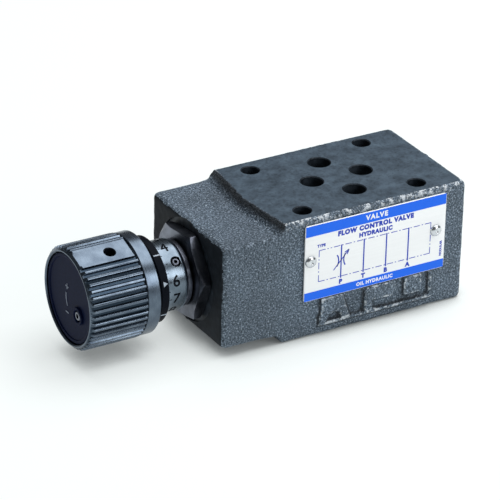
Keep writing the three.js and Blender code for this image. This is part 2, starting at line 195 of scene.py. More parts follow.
def turnedMetal(name, pale, dark, roughness, lineWidth, metallic=1.0):
    # metal turned on a lathe: fine rings round the bore axis, which are drawn at
    # lineWidth because real feed marks are too close to show
    material, tree, shader, place = newMaterial(name, metallic=metallic, roughness=roughness)
    centred = addNode(tree, "ShaderNodeMapping", {}, {
        "Vector": place, "Location": (0, 0, -axisHeight)})
    stretched = addNode(tree, "ShaderNodeMapping", {}, {
        "Vector": centred.outputs["Vector"], "Scale": (1, 0.04, 0.04)})
    rings = addNode(tree, "ShaderNodeTexNoise", {}, {
        "Vector": stretched.outputs["Vector"], "Scale": 1 / lineWidth, "Detail": 3.0})
    film = addNode(tree, "ShaderNodeTexNoise", {}, {
        "Vector": place, "Scale": 1 / (4 * mm), "Detail": 3.0})
    tone = addNode(tree, "ShaderNodeValToRGB", {}, {"Fac": film.outputs["Fac"]}, [
        (0.3, dark), (0.7, pale)])
    # shadeMask: painted shade where a piece sets it, in the knob's ridge valleys
    shadeMask = addNode(tree, "ShaderNodeAttribute", {"attribute_name": "shadeMask"})
    paintedShade = addNode(tree, "ShaderNodeMix", {"data_type": "RGBA"}, {
        0: shadeMask.outputs["Fac"], 6: tone.outputs["Color"], 7: linear("#212d39")})
    tree.links.new(paintedShade.outputs[2], shader.inputs["Base Color"])
    gloss = addNode(tree, "ShaderNodeMapRange", {}, {
        "Value": rings.outputs["Fac"], "To Min": roughness - 0.08, "To Max": roughness + 0.1})
    tree.links.new(gloss.outputs["Result"], shader.inputs["Roughness"])
    bump = addNode(tree, "ShaderNodeBump", {}, {
        "Strength": 0.2, "Distance": 0.02 * mm, "Height": rings.outputs["Fac"]})
    tree.links.new(bump.outputs["Normal"], shader.inputs["Normal"])
    return material


def mouldedBlack(name, colour, roughness, grain):
    # filled nylon or rubber from a mould: even dark colour, faint grain, soft shine
    material, tree, shader, place = newMaterial(name, roughness=roughness, ior=1.5, specular=0.04)
    skin = addNode(tree, "ShaderNodeTexNoise", {}, {
        "Vector": place, "Scale": 1 / grain, "Detail": 3.0})
    tone = addNode(tree, "ShaderNodeHueSaturation", {}, {
        "Color": linear(colour), "Value": 1.0})
    shade = addNode(tree, "ShaderNodeMapRange", {}, {
        "Value": skin.outputs["Fac"], "From Min": 0.3, "From Max": 0.7,
        "To Min": 0.8, "To Max": 1.2})
    tree.links.new(shade.outputs["Result"], tone.inputs["Value"])
    tree.links.new(tone.outputs["Color"], shader.inputs["Base Color"])
    bump = addNode(tree, "ShaderNodeBump", {}, {
        "Strength": 0.25, "Distance": 0.03 * mm, "Height": skin.outputs["Fac"]})
    tree.links.new(bump.outputs["Normal"], shader.inputs["Normal"])
    return material


def plateFace(name, colour, roughness, metallic):
    # thin aluminium sheet with a baked print: satin, with the sheet's faint roll lines
    material, tree, shader, place = newMaterial(name, metallic=metallic, roughness=roughness, specular=0.3)
    stretched = addNode(tree, "ShaderNodeMapping", {}, {"Vector": place, "Scale": (0.05, 1, 1)})
    lines = addNode(tree, "ShaderNodeTexNoise", {}, {
        "Vector": stretched.outputs["Vector"], "Scale": 1 / (0.5 * mm), "Detail": 2.0})
    tone = addNode(tree, "ShaderNodeHueSaturation", {}, {"Color": linear(colour)})
    shade = addNode(tree, "ShaderNodeMapRange", {}, {
        "Value": lines.outputs["Fac"], "From Min": 0.3, "From Max": 0.7,
        "To Min": 0.985, "To Max": 1.01})
    tree.links.new(shade.outputs["Result"], tone.inputs["Value"])
    tree.links.new(tone.outputs["Color"], shader.inputs["Base Color"])
    return material


materials = {
    "cast": castIron(),
    "ground": groundIron(),
    "bored": darkIron("oiledBoredIron", "#353d46", "#1a2026", 0.45),
    "endFaceShade": darkIron("oiledEndFaceIronAndPaintedShade", "#22282f", "#171c22", 0.65, 0.0),
    "blackOxide": turnedMetal("blackOxideSteel", "#737884", "#454953", 0.3, 0.5 * mm),
    "knob": turnedMetal("blueBlackAnodisedAluminium", "#66727f", "#4f5a67", 0.27, 0.4 * mm),
    "barrel": turnedMetal("satinAnodisedAluminium", "#76828e", "#5b6772", 0.26, 0.4 * mm),
    "steel": turnedMetal("brightTurnedSteel", "#d9dcdf", "#c0c4c8", 0.22, 0.4 * mm),
    "springSteel": turnedMetal("drawnSpringSteel", "#8a8f94", "#6f757a", 0.35, 0.6 * mm),
    "capPlastic": mouldedBlack("mouldedBlueBlackNylon", "#0c1633", 0.5, 0.8 * mm),
    "bandPlastic": mouldedBlack("matteBlackNylon", "#0a0f17", 0.5, 0.8 * mm),
    "sealRubber": mouldedBlack("nitrileRubber", "#141517", 0.7, 0.5 * mm),
    "plateSilver": plateFace("satinPlateAluminium", "#f8fafb", 0.4, 0.0),
    "printBlue": plateFace("bakedBluePrint", "#0068f2", 0.35, 0.0),
    "printLine": plateFace("bakedLinePrint", "#2743b8", 0.4, 0.0),
    "printWhite": plateFace("bakedWhitePrint", "#f6f9fc", 0.4, 0.0),
    "knobBore": darkIron("blueBlackBore", "#10161f", "#06090e", 0.5),
    "capMark": mouldedBlack("paleCapMarks", "#8b93a3", 0.5, 0.6 * mm),
    "mark": plateFace("filledWhiteMarks", "#a9b6c4", 0.45, 0.0),
    "inkAndHoleShade": mouldedBlack("inkAndPaintedHoleShade", "#12161d", 0.5, 0.5 * mm),
}
print("materials made:", len(materials))


def pieceFrom(name, bm, coats, body, replaced=(), sharp=35):
    # turns a bmesh into a finished piece that rides on its body, sharp where faces meet past an angle
    mesh = bpy.data.meshes.new(name)
    bm.to_mesh(mesh)
    bm.free()
    for coat in coats:
        mesh.materials.append(materials[coat])
    mesh.polygons.foreach_set("use_smooth", [True] * len(mesh.polygons))
    mesh.set_sharp_from_angle(angle=math.radians(sharp))
    piece = bpy.data.objects.new(name, mesh)
    bpy.context.scene.collection.objects.link(piece)
    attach(piece, body)
    if replaced:
        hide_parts(*replaced)
    return piece


def turned(profile, steps, origin=axisPoint, direction=alongX):
    # spins [place along the axis, radius] points, in mm, round an axis
    bm = bmesh.new()
    verts = [bm.verts.new((along * mm, 0, radius * mm)) for along, radius in profile]
    edges = [bm.edges.new(pair) for pair in zip(verts, verts[1:])]
    if profile[0][1] > 0 or profile[-1][1] > 0:
        edges.append(bm.edges.new((verts[-1], verts[0])))
    bmesh.ops.spin(bm, geom=verts + edges, cent=(0, 0, 0), axis=(1, 0, 0),
                   angle=2 * math.pi, steps=steps, use_merge=True)
    bmesh.ops.remove_doubles(bm, verts=bm.verts, dist=1e-6)
    bmesh.ops.recalc_face_normals(bm, faces=bm.faces)
    turn = direction.to_track_quat("X", "Z").to_matrix().to_4x4()
    bmesh.ops.transform(bm, matrix=Matrix.Translation(origin) @ turn, verts=bm.verts)
    return bm


def easeEdges(bm, width, angle=30, segments=2):
    # breaks every sharp edge, as a deburred part has it
    edges = [e for e in bm.edges if e.is_manifold and e.calc_face_angle() > math.radians(angle)]
    bmesh.ops.bevel(bm, geom=edges, offset=width, offset_type="OFFSET", segments=segments,
                    profile=0.5, affect="EDGES", material=-1, clamp_overlap=True)
    return bm


def carve(bm, cutter, coat=None, operation="DIFFERENCE"):
    # cuts or joins one bmesh with another, and gives new faces the coat's number
    objects = []
    for name, source in (("worked", bm), ("cutter", cutter)):
        if source is cutter and coat is not None:
            for face in source.faces:
                face.material_index = coat
        mesh = bpy.data.meshes.new(name)
        source.to_mesh(mesh)
        source.free()
        for coatSlot in range(4):       # a face keeps its coat's number only if there is a slot for it
            mesh.materials.append(None)
        worked = bpy.data.objects.new(name, mesh)
        bpy.context.scene.collection.objects.link(worked)
        objects.append(worked)
    modifier = objects[0].modifiers.new("carve", "BOOLEAN")
    modifier.operation = operation
    modifier.solver = "MANIFOLD"
    modifier.material_mode = "INDEX"
    modifier.object = objects[1]
    depsgraph = bpy.context.evaluated_depsgraph_get()
    result = bmesh.new()
    result.from_object(objects[0], depsgraph)
    for worked in objects:
        mesh = worked.data
        bpy.data.objects.remove(worked)
        bpy.data.meshes.remove(mesh)
    return result


def merge(target, *others):
    # adds other bmeshes to the first one
    for other in others:
        mesh = bpy.data.meshes.new("merged")
        other.to_mesh(mesh)
        other.free()
        target.from_mesh(mesh)
        bpy.data.meshes.remove(mesh)
    return target


def block(low, high):
    bm = bmesh.new()
    middle = Matrix.Translation([(a + b) / 2 * mm for a, b in zip(low, high)])
    size = Matrix.Diagonal([abs(b - a) * mm for a, b in zip(low, high)] + [1])
    bmesh.ops.create_cube(bm, size=1, matrix=middle @ size)
    return bm


def radial(degrees, radius):
    # a point round the bore axis, in degrees from +Z towards -Y, radius in metres
    angle = math.radians(degrees)
    return Vector((0, -radius * math.sin(angle), axisHeight + radius * math.cos(angle)))


def outlineSolid(points, low, high):
    # draws an outline in XZ, in mm, out along Y into a closed solid
    bm = bmesh.new()
    face = bm.faces.new([bm.verts.new((x * mm, low * mm, z * mm)) for x, z in points])
    grown = bmesh.ops.extrude_face_region(bm, geom=[face])["geom"]
    bmesh.ops.translate(bm, vec=(0, (high - low) * mm, 0),
                        verts=[v for v in grown if isinstance(v, bmesh.types.BMVert)])
    bmesh.ops.recalc_face_normals(bm, faces=bm.faces)
    return bm


def hexPrism(radius, x0, x1, turn, centre=axisPoint):
    # a hexagonal bar along X, radius across corners in mm, turned in degrees from +Z towards -Y
    bm = bmesh.new()
    bmesh.ops.create_cone(bm, cap_ends=True, cap_tris=False, segments=6, radius1=radius * mm,
                          radius2=radius * mm, depth=(x1 - x0) * mm)
    upright = Matrix.Rotation(math.radians(turn + 90), 4, "X") @ Matrix.Rotation(math.pi / 2, 4, "Y")
    middle = Matrix.Translation(centre + Vector(((x0 + x1) / 2 * mm, 0, 0)))
    bmesh.ops.transform(bm, matrix=middle @ upright, verts=bm.verts)
    return bm


def lettering(words, height, depth, bold=0.0, gap=1.0):
    # flat letters in XY, in metres, centred on the origin and extruded from z = 0 to depth
    curve = bpy.data.curves.new("lettering", "FONT")
    curve.body = words
    curve.size = height * mm / 0.7
    curve.offset = bold * mm
    curve.space_character = gap
    curve.align_x, curve.align_y = "CENTER", "CENTER"
    curve.extrude = depth * mm / 2
    curve.resolution_u = 4
    word = bpy.data.objects.new("lettering", curve)
    bpy.context.scene.collection.objects.link(word)
    mesh = bpy.data.meshes.new_from_object(word.evaluated_get(bpy.context.evaluated_depsgraph_get()))
    bm = bmesh.new()
    bm.from_mesh(mesh)
    bpy.data.objects.remove(word)
    bpy.data.curves.remove(curve)
    bpy.data.meshes.remove(mesh)
    bmesh.ops.remove_doubles(bm, verts=bm.verts, dist=1e-7)
    bmesh.ops.translate(bm, vec=(0, 0, depth * mm / 2), verts=bm.verts)
    bmesh.ops.recalc_face_normals(bm, faces=bm.faces)
    return bm


def wrapped(bm, x, degrees, radius, cuts=0.4):
    # bends flat marks round the bore axis: their x runs along the valve and their y up round it
    reach = max(abs(v.co.y) for v in bm.verts)
    level = -reach + cuts * mm
    while level < reach:
        bmesh.ops.bisect_plane(bm, geom=bm.verts[:] + bm.edges[:] + bm.faces[:], dist=1e-7,
                               plane_co=(0, level, 0), plane_no=(0, 1, 0))
        level += cuts * mm
    for v in bm.verts:
        angle = degrees - math.degrees(v.co.y / (radius * mm))
        v.co = Vector((x * mm + v.co.x, 0, 0)) + radial(angle, radius * mm + v.co.z)
    bmesh.ops.recalc_face_normals(bm, faces=bm.faces)
    return bm


casting = {
    "padLeft": -31.8,       # left edge of the ground faces at the parting plane
    "stepRun": 2.2,
    "stepDepth": 3.1,
    "sideDraft": 6,         # degrees
    "endDraft": 0.5,
    "stock": 0.1,           # iron left above the ground faces before grinding
    "edgeRadius": 2.3,
    "endEdgeRadius": 1.5,
    "voxel": 0.55,
    "grit": 0.07,           # height and size of the sand's grain
    "gritSize": 1.7,
    "waviness": 0.12,
    "wavinessSize": 9,
    "seam": 0.25,           # the parting line's height and half width
    "seamWidth": 0.7,
    "portRadius": 3.5,
    "boltRadius": 2.75,
    "sealSeatRadius": 6.1,
    "sealSeatDepth": 1.6,
    "mouthChamfer": 0.3,
    "portPBlindHeight": 17,   # port P stops here from below, and at portPTopHeight from above
    "portPTopHeight": 24,
    "pumpChamber": ((-2.4, 4, 14), (0.1, 9, 18)),
    "valveChamber": ((1.9, 4, 23), (4.3, 9, 27)),
    "spotFaceRadius": 16.2,
    "spotFaceDepth": 0.7,
    "threadBoreRadius": 10.8,
    "threadBoreEnd": -36.7,
    "springBoreRadius": 7,
    "springBoreEnd": -18.3,
    "fineBoreRadius": 6,
    "fineBoreEnd": 5.4,
    "pinHoleRadius": 1.2,
    "pinHoleDepth": 3,
}
bolts = [(-20.25, -15.5), (20.25, -15.5), (20.25, 16.25), (-20.25, 15.5)]
ports = {name: (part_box(f"port_{name}_o_ring")[0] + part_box(f"port_{name}_o_ring")[1]) / 2
         for name in "ptab"}


def castingBlank():
    # the outline in XZ, drawn out to both sides of the parting plane with draft
    p = casting
    left, right = bodyLow.x / mm, bodyHigh.x / mm
    top, bottom = bodyHigh.z / mm, bodyLow.z / mm
    half = bodyHigh.y / mm
    slope = p["stepRun"] / p["stepDepth"]
    padX = p["padLeft"] + p["stock"] * slope
    stepX = p["padLeft"] - p["stepRun"]
    outline = [
        (right, bottom - p["stock"]), (right, top + p["stock"]), (padX, top + p["stock"]),
        (stepX, top - p["stepDepth"]), (left, top - p["stepDepth"]),
        (left, bottom + p["stepDepth"]), (stepX, bottom + p["stepDepth"]),
        (padX, bottom - p["stock"]),
    ]
    bm = bmesh.new()
    verts = [bm.verts.new((x * mm, -half * mm, z * mm)) for x, z in outline]
    faces = [bm.faces.new(verts)]
    for side in range(2):
        grown = bmesh.ops.extrude_face_region(bm, geom=faces)["geom"]
        bmesh.ops.translate(bm, vec=(0, half * mm, 0),
                            verts=[v for v in grown if isinstance(v, bmesh.types.BMVert)])
        faces = [f for f in grown if isinstance(f, bmesh.types.BMFace)]
    inner = [f for f in bm.faces if all(abs(v.co.y) < 1e-6 for v in f.verts)]
    bmesh.ops.delete(bm, geom=inner, context="FACES_ONLY")
    for v in bm.verts:
        onLeftEnd = v.co.x < left * mm + 1e-6
        if v.co.x < 0:
            draft = p["endDraft"] if onLeftEnd else p["sideDraft"]
            v.co.x += abs(v.co.y) * math.tan(math.radians(draft))
    bmesh.ops.recalc_face_normals(bm, faces=bm.faces)

    def onEnd(edge):
        return all(v.co.x < (left + 2.5) * mm for v in edge.verts)

    def onStep(edge):
        # the top edges of the step, which grinding cuts and so keeps sharp
        return all(padX - 0.5 < v.co.x / mm < padX + 3
                   and not bottom + 5 < v.co.z / mm < top - 5 for v in edge.verts)

    for ends, radius in ((False, p["edgeRadius"]), (True, p["endEdgeRadius"])):
        edges = [e for e in bm.edges if e.is_manifold and e.is_convex and not onStep(e)
                 and e.calc_face_angle() > math.radians(40) and onEnd(e) == ends]
        bmesh.ops.bevel(bm, geom=edges, offset=radius * mm, offset_type="OFFSET", segments=4,
                        profile=0.5, affect="EDGES", material=-1, clamp_overlap=True)
    return bm


wearAndShade = {
    "fringe": 2.2,       # how far down from the ground face the bright fringe of worn metal and painted glints reaches
    "fringeWidth": 3.2,  # and how far in from each side
    "edgeFrom": 0.05,    # how sharp an edge has to be for worn metal and painted glints, and how deep a hollow for painted shade
    "edgeGain": 9.0,
    "hollowFrom": 0.035,
    "hollowGain": 12.0,
    "shadeLimit": 0.85,
    "stepShade": 2.6,    # how far down the painted shade reaches on the step, which faces away from the lamps
    "stepShadeStrength": 1.6,
    "stepReach": (4, 8),  # the step's place: along the valve and down from the top
    "stepFacing": 0.3,   # how much a face has to look towards the knob to lie on the step
    "rim": 0.55,         # width of the painted highlight and painted shadow lines at the raised pads
    "rimShine": 0.65,
    "rimShade": 0.8,
}
foundryPads = {
    "height": 1.2,
    "root": 1.5,         # how deep each pad starts inside the casting
    "top": 14,           # nothing above this height belongs to a pad
    "outlines": [
        [(-17.5, 3.4), (22.6, 3.4), (22.6, 12.5), (21.6, 12.5), (21.6, 4.5), (-17.5, 4.5)],
        [(-17.5, 4.4), (-15.4, 4.4), (-14.2, 6.6), (-12.2, 7.3), (-10.4, 6.4), (-9.6, 4.4), (-6.6, 4.4),
         (-9.4, 12.5), (-17.1, 12.5)],
        [(-1.6, 4.4), (1.2, 4.4), (1.2, 7.6), (8.0, 7.6), (9.6, 9.4), (9.6, 12.5), (-1.6, 12.5)],
        [(12.4, 6.6), (18.8, 6.6), (18.8, 12.5), (12.4, 12.5)],
    ],
}


def raisedFoundryPads():
    # plain raised pads and a rail, cast on the front side below the nameplate
    side = bodyLow.y / mm
    return [outlineSolid(points, side - foundryPads["height"], side + foundryPads["root"])
            for points in foundryPads["outlines"]]


def remeshed(bm, voxel):
    mesh = bpy.data.meshes.new("blank")
    bm.to_mesh(mesh)
    bm.free()
    blank = bpy.data.objects.new("blank", mesh)
    bpy.context.scene.collection.objects.link(blank)
    modifier = blank.modifiers.new("voxels", "REMESH")
    modifier.mode = "VOXEL"
    modifier.voxel_size = voxel * mm
    result = bmesh.new()
    result.from_object(blank, bpy.context.evaluated_depsgraph_get())
    bpy.data.objects.remove(blank)
    bpy.data.meshes.remove(mesh)
    return result


def weather(bm):
    # sand-cast skin: fine grit on a slow waviness, and a slight seam at the parting plane
    p = casting
    bmesh.ops.smooth_vert(bm, verts=bm.verts, factor=0.5, use_axis_x=True, use_axis_y=True,
                          use_axis_z=True)
    bm.normal_update()
    for v in bm.verts:
        fine = noise.noise(v.co / (p["gritSize"] * mm)) * p["grit"]
        slow = noise.noise(v.co / (p["wavinessSize"] * mm) + Vector((3, 7, 1))) * p["waviness"]
        seam = p["seam"] * math.exp(-(v.co.y / (p["seamWidth"] * mm)) ** 2)
        ground = v.co.z > bodyHigh.z or v.co.z < bodyLow.z
        v.co += v.normal * (0 if ground else fine + slow + seam) * mm


def grind(bm, height, outward):
    # planes the casting at a height and closes the cut
    cut = bmesh.ops.bisect_plane(
        bm, geom=bm.verts[:] + bm.edges[:] + bm.faces[:], dist=1e-7,
        plane_co=(0, 0, height), plane_no=(0, 0, outward), clear_outer=True)["geom_cut"]
    edges = [e for e in cut if isinstance(e, bmesh.types.BMEdge)]
    made = bmesh.ops.holes_fill(bm, edges=edges, sides=0)["faces"]
    for face in made:
        face.material_index = 1


def portCutter(place, z0, z1, radius, seat=False, mouths=(True, True)):
    # a drilled hole, with its seal seat and its chamfered mouths
    p = casting
    c = p["mouthChamfer"]
    profile = [(z0, 0)]
    if seat:
        profile += [(z0, p["sealSeatRadius"]), (p["sealSeatDepth"], p["sealSeatRadius"]),
                    (p["sealSeatDepth"], radius)]
    elif mouths[0]:
        profile += [(z0, radius + c + 1), (-1e-3, radius + c), (c, radius)]
    else:
        profile += [(z0, 0.0), (z0 + radius * 0.6, radius)]
    if mouths[1]:
        top = bodyHigh.z / mm
        profile += [(top - c, radius), (top + 1e-3, radius + c), (z1, radius + c + 1), (z1, 0)]
    else:
        profile += [(z1 - radius * 0.6, radius), (z1, 0)]
    clean = [profile[0]] + [b for a, b in zip(profile, profile[1:]) if a != b]
    return turned(clean, 56, Vector((place[0] * mm, place[1] * mm, 0)), Vector((0, 0, 1)))


def bend(v):
    # how far a vertex lies below its neighbours, in mm: above 0 in a hollow, below 0 on an edge
    ring = [e.other_vert(v).co for e in v.link_edges]
    return (sum(ring, Vector()) / len(ring) - v.co).dot(v.normal) / mm if ring else 0.0


def nearPad(x, z):
    # whether a place on the front side lies on a raised pad, and how far from its outline
    inside, nearest = False, 99.0
    for points in foundryPads["outlines"]:
        for (x0, z0), (x1, z1) in zip(points, points[1:] + points[:1]):
            along = Vector((x1 - x0, z1 - z0))
            here = Vector((x - x0, z - z0))
            share = min(1, max(0, here.dot(along) / along.length_squared))
            nearest = min(nearest, (here - along * share).length)
            if (z0 > z) != (z1 > z) and x < x0 + (z - z0) / (z1 - z0) * (x1 - x0):
                inside = not inside
    return inside, nearest


def markWear(bm):
    # sharp edges and the fringe below the ground faces get worn metal and painted glints; hollows, the step
    # and the pad outlines get painted shade
    w = wearAndShade
    wearAndGlint = bm.verts.layers.float.new("wearAndGlint")
    shadeMask = bm.verts.layers.float.new("shadeMask")
    bm.normal_update()
    hollow = {v: bend(v) for v in bm.verts}
    for v in bm.verts:
        near = [hollow[e.other_vert(v)] for e in v.link_edges] + [hollow[v]]
        depth = sum(near) / len(near)
        fromTop = (bodyHigh.z - v.co.z) / mm
        atSide = abs(v.co.y) > bodyHigh.y - w["fringeWidth"] * mm
        fringe = max(0.0, 1 - fromTop / w["fringe"]) if atSide else 0.0
        shine = fringe + max(0.0, -depth - w["edgeFrom"]) * w["edgeGain"]
        paintedShade = max(0.0, depth - w["hollowFrom"]) * w["hollowGain"]
        # the step faces away from the lamps: it gets painted shade and no painted glints
        fromStep = abs(v.co.x / mm - casting["padLeft"])
        onStep = fromStep < w["stepReach"][0] and fromTop < w["stepReach"][1]
        if onStep and v.normal.x < -w["stepFacing"]:
            shine, paintedShade = 0.0, max(paintedShade, w["stepShadeStrength"] * (1 - fromTop / w["stepShade"]))
        # raised pads: a painted highlight just inside each outline and a painted shadow just outside it
        if v.co.y < bodyLow.y + mm and v.co.z < foundryPads["top"] * mm:
            inside, off = nearPad(v.co.x / mm, v.co.z / mm)
            if off < w["rim"]:
                shine, paintedShade = (shine + w["rimShine"], 0.0) if inside else (0.0, w["rimShade"])
        v[wearAndGlint] = min(1.0, shine)
        v[shadeMask] = min(w["shadeLimit"], paintedShade)


def valveBody():
    p = casting
    top = bodyHigh.z / mm
    bm = merge(castingBlank(), *raisedFoundryPads())
    bm = remeshed(bm, p["voxel"])
    weather(bm)
    grind(bm, bodyHigh.z, 1)
    grind(bm, bodyLow.z, -1)
    bmesh.ops.recalc_face_normals(bm, faces=bm.faces)
    print("casting ground,", len(bm.faces), "faces")
    spot = {name: (at.x / mm, at.y / mm) for name, at in ports.items()}
    drilled = [portCutter(spot[n], -1, top + 1, p["portRadius"], seat=True) for n in "tab"]
    drilled.append(portCutter(spot["p"], -1, p["portPBlindHeight"], p["portRadius"], seat=True,
                              mouths=(True, False)))
    drilled.append(portCutter(spot["p"], p["portPTopHeight"], top + 1, p["portRadius"],
                              mouths=(False, True)))
    drilled += [portCutter(place, -1, top + 1, p["boltRadius"]) for place in bolts]
    for name in ("left", "right"):
        low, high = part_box(f"nameplate_pin_{name}")
        middle = (low + high) / 2
        hole = [(-1, 0), (-1, p["pinHoleRadius"]), (p["pinHoleDepth"], p["pinHoleRadius"]),
                (p["pinHoleDepth"], 0)]
        drilled.append(turned(hole, 24, Vector((middle.x, bodyLow.y, middle.z)), Vector((0, 1, 0))))
    bm = carve(bm, merge(*drilled), 2)
    left = bodyLow.x / mm
    floor, lead = left + p["spotFaceDepth"], 0.6
    threadRadius, threadEnd = p["threadBoreRadius"], p["threadBoreEnd"]
    springRadius, springEnd = p["springBoreRadius"], p["springBoreEnd"]
    bm = carve(bm, turned([
        (left - 3, 0), (left - 3, p["spotFaceRadius"]), (floor, p["spotFaceRadius"]),
        (floor, threadRadius + lead), (floor + lead, threadRadius), (threadEnd, threadRadius),
        (threadEnd + 2, springRadius), (springEnd, springRadius), (springEnd + lead, p["fineBoreRadius"]),
        (p["fineBoreEnd"], p["fineBoreRadius"]), (p["fineBoreEnd"], 0)], 96), 2)
    bm = carve(bm, merge(block(*p["pumpChamber"]), block(*p["valveChamber"])), 2)
    markWear(bm)
    # cast faces at the left end that face away from the lamps get the near-black end-face iron, as painted
    # shade
    for face in bm.faces:
        x = face.calc_center_median().x / mm
        if face.material_index == 0 and face.normal.x < -0.88 and x < left + 3:
            face.material_index = 3
    piece = pieceFrom("valveBodyCasting", bm, ["cast", "ground", "bored", "endFaceShade"],
                      "valve_body", ["valve_body"], 40)
    for polygon in piece.data.polygons:
        polygon.use_smooth = polygon.material_index != 1
    print("valve body done,", len(piece.data.polygons), "faces")


valveBody()

knobForm = {
    "ridges": 48,
    "samplesPerRidge": 14,
    "crestAngle": 51.2,      # where one crest lies, in degrees from +Z towards -Y
    "crestRadius": 16.0,
    "ridgeDepth": 0.8,
    "ridgeFullness": 1.1,    # how steep the flanks are
    "ridgeLevel": 0.42,      # at 0.5 crests and valleys are equally wide, below it the valleys are wider
    "padAngle": 17,          # smooth pad, in degrees from +Z towards -Y
    "padHalfAngle": 14,
    "padRadius": 15.5,
    "grooveRadius": 14.8,
    "bandRadius": 15.8,
    "recessDepth": 2.2,
    "recessRadius": 14.2,
    "recessBevel": (0.35, 0.3),
    "frontRound": [(0, 14.8), (0.3, 15.1), (0.75, 15.55), (1.2, 16)],   # back from the front, radius
    "ridgeEnd": -73.0,
    "bandStart": -72.2,
    "bandEnd": -68.3,
    "rearStep": -66.9,       # where the band has tapered to the neck
    "rearStepRadius": 13.1,
    "neckRadius": 12.3,
    "cavityRadius": 11.6,
    "cavityEnd": -77,
    "stemBoreRadius": 4.3,
    "stemBoreEnd": -87.3,
    "screwX": -79.4,
    "screwHoleRadius": 1.7,
    "capScrewHoleRadius": 1.8,
    "valleyShade": (1.3, 0.4),      # painted shade in the valleys: how fast it deepens down a ridge, and how clean the crest stays
    "valleyShadeEnd": -72.5,        # behind this place the knob gets no painted valley shade
}
capScrewAt = (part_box("cap_screw")[0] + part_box("cap_screw")[1]) / 2


def onKnobPad(degrees):
    return abs((degrees - knobForm["padAngle"] + 180) % 360 - 180) < knobForm["padHalfAngle"]


def knobSkin(degrees):
    # radius of the ridged skin, in mm: rounded ridges, left out over the planed pad
    k = knobForm
    if onKnobPad(degrees):
        return k["padRadius"] / math.cos(math.radians(degrees - k["padAngle"]))
    phase = math.radians((degrees - k["crestAngle"]) * k["ridges"])
    wave = k["ridgeLevel"] + k["ridgeFullness"] * math.cos(phase)
    return k["crestRadius"] - k["ridgeDepth"] * (1 - min(1, max(0, wave)))


def knobStations():
    # along the axis from the recess floor, round the outside and back in to the stem bore
    k = knobForm
    front, rear = knobLow.x / mm, knobHigh.x / mm
    band = k["bandRadius"]

    def grooved(degrees):
        return k["grooveRadius"] if onKnobPad(degrees) else knobSkin(degrees)

    def level(radius):
        return lambda degrees: radius

    def bevelled(radius):
        return lambda degrees: min(knobSkin(degrees), radius)

    recess, groove = k["recessRadius"], k["grooveRadius"] + 0.3
    bevelBack, bevelOut = k["recessBevel"]
    ridgeEnd, bandStart, bandEnd, step = k["ridgeEnd"], k["bandStart"], k["bandEnd"], k["rearStep"]
    return [
        (front + k["recessDepth"], level(recess)), (front + bevelBack, level(recess)),
        (front, level(recess + bevelOut)),
        *[(front + back, bevelled(radius)) for back, radius in k["frontRound"]],
        (ridgeEnd, knobSkin), (ridgeEnd + 0.02, grooved), (ridgeEnd + 0.4, grooved),
        (bandStart - 0.15, level(groove)), (bandStart, level(groove)),
        (bandStart + 0.02, level(band - 0.1)), (bandStart + 0.2, level(band)),
        (bandEnd, level(band)), (bandEnd + 0.4, level(band - 0.3)),
        (step - 0.1, level(k["rearStepRadius"] + 0.2)), (step, level(k["rearStepRadius"])),
        (step + 0.02, level(k["neckRadius"])), (rear, level(k["neckRadius"])),
        (rear, level(k["cavityRadius"])), (k["cavityEnd"], level(k["cavityRadius"])),
        (k["cavityEnd"], level(k["stemBoreRadius"])), (k["stemBoreEnd"], level(k["stemBoreRadius"])),
    ]


def makeKnob():
    k = knobForm
    bm = bmesh.new()
    bmesh.ops.create_circle(bm, cap_ends=False, segments=k["ridges"] * k["samplesPerRidge"], radius=mm)
    upright = Matrix.Translation(axisPoint) @ Matrix.Rotation(math.pi / 2, 4, "Y")
    bmesh.ops.transform(bm, matrix=upright, verts=bm.verts)
    ring, rim = bm.verts[:], bm.edges[:]
    for number, (x, shape) in enumerate(knobStations()):
        if number:
            grown = bmesh.ops.extrude_edge_only(bm, edges=rim)["geom"]
            ring = [g for g in grown if isinstance(g, bmesh.types.BMVert)]
            rim = [g for g in grown if isinstance(g, bmesh.types.BMEdge) and g.is_boundary]
        for v in ring:
            degrees = math.degrees(math.atan2(-v.co.y, v.co.z - axisHeight))
            v.co = Vector((x * mm, 0, 0)) + radial(degrees, shape(degrees) * mm)
    bmesh.ops.holes_fill(bm, edges=bm.edges, sides=0)
    bmesh.ops.remove_doubles(bm, verts=bm.verts, dist=1e-7)
    bmesh.ops.recalc_face_normals(bm, faces=bm.faces)
    outward = (radial(k["padAngle"], 1) - axisPoint).normalized()
    screwHole = turned([(8, 0), (8, k["screwHoleRadius"]), (15.25, k["screwHoleRadius"]),
                        (15.55, k["screwHoleRadius"] + 0.3), (18, k["screwHoleRadius"] + 0.3), (18, 0)],
                       40, Vector((k["screwX"] * mm, 0, axisHeight)), outward)
    capHole = turned([(-93, 0), (-93, k["capScrewHoleRadius"]), (-86, k["capScrewHoleRadius"]), (-86, 0)],
                     32, Vector((0, capScrewAt.y, capScrewAt.z)))
    bm = carve(bm, merge(screwHole, capHole), 1)
    # painted shade in the ridge valleys, deepening down each ridge
    shadeMask = bm.verts.layers.float.new("shadeMask")
    for v in bm.verts:
        degrees = math.degrees(math.atan2(-v.co.y, v.co.z - axisHeight))
        radius = (Vector((0, v.co.y, v.co.z)) - axisPoint).length / mm
        onRidges = v.co.x < k["valleyShadeEnd"] * mm and radius > k["grooveRadius"] + 0.3
        if onRidges and not onKnobPad(degrees):
            below = (k["crestRadius"] - radius) / k["ridgeDepth"]
            v[shadeMask] = min(0.9, max(0.0, k["valleyShade"][0] * below - k["valleyShade"][1]))
    pieceFrom("ribbedKnob", bm, ["knob", "knobBore"], "knob", ["knob"], 25)


makeKnob()
print("knob done")

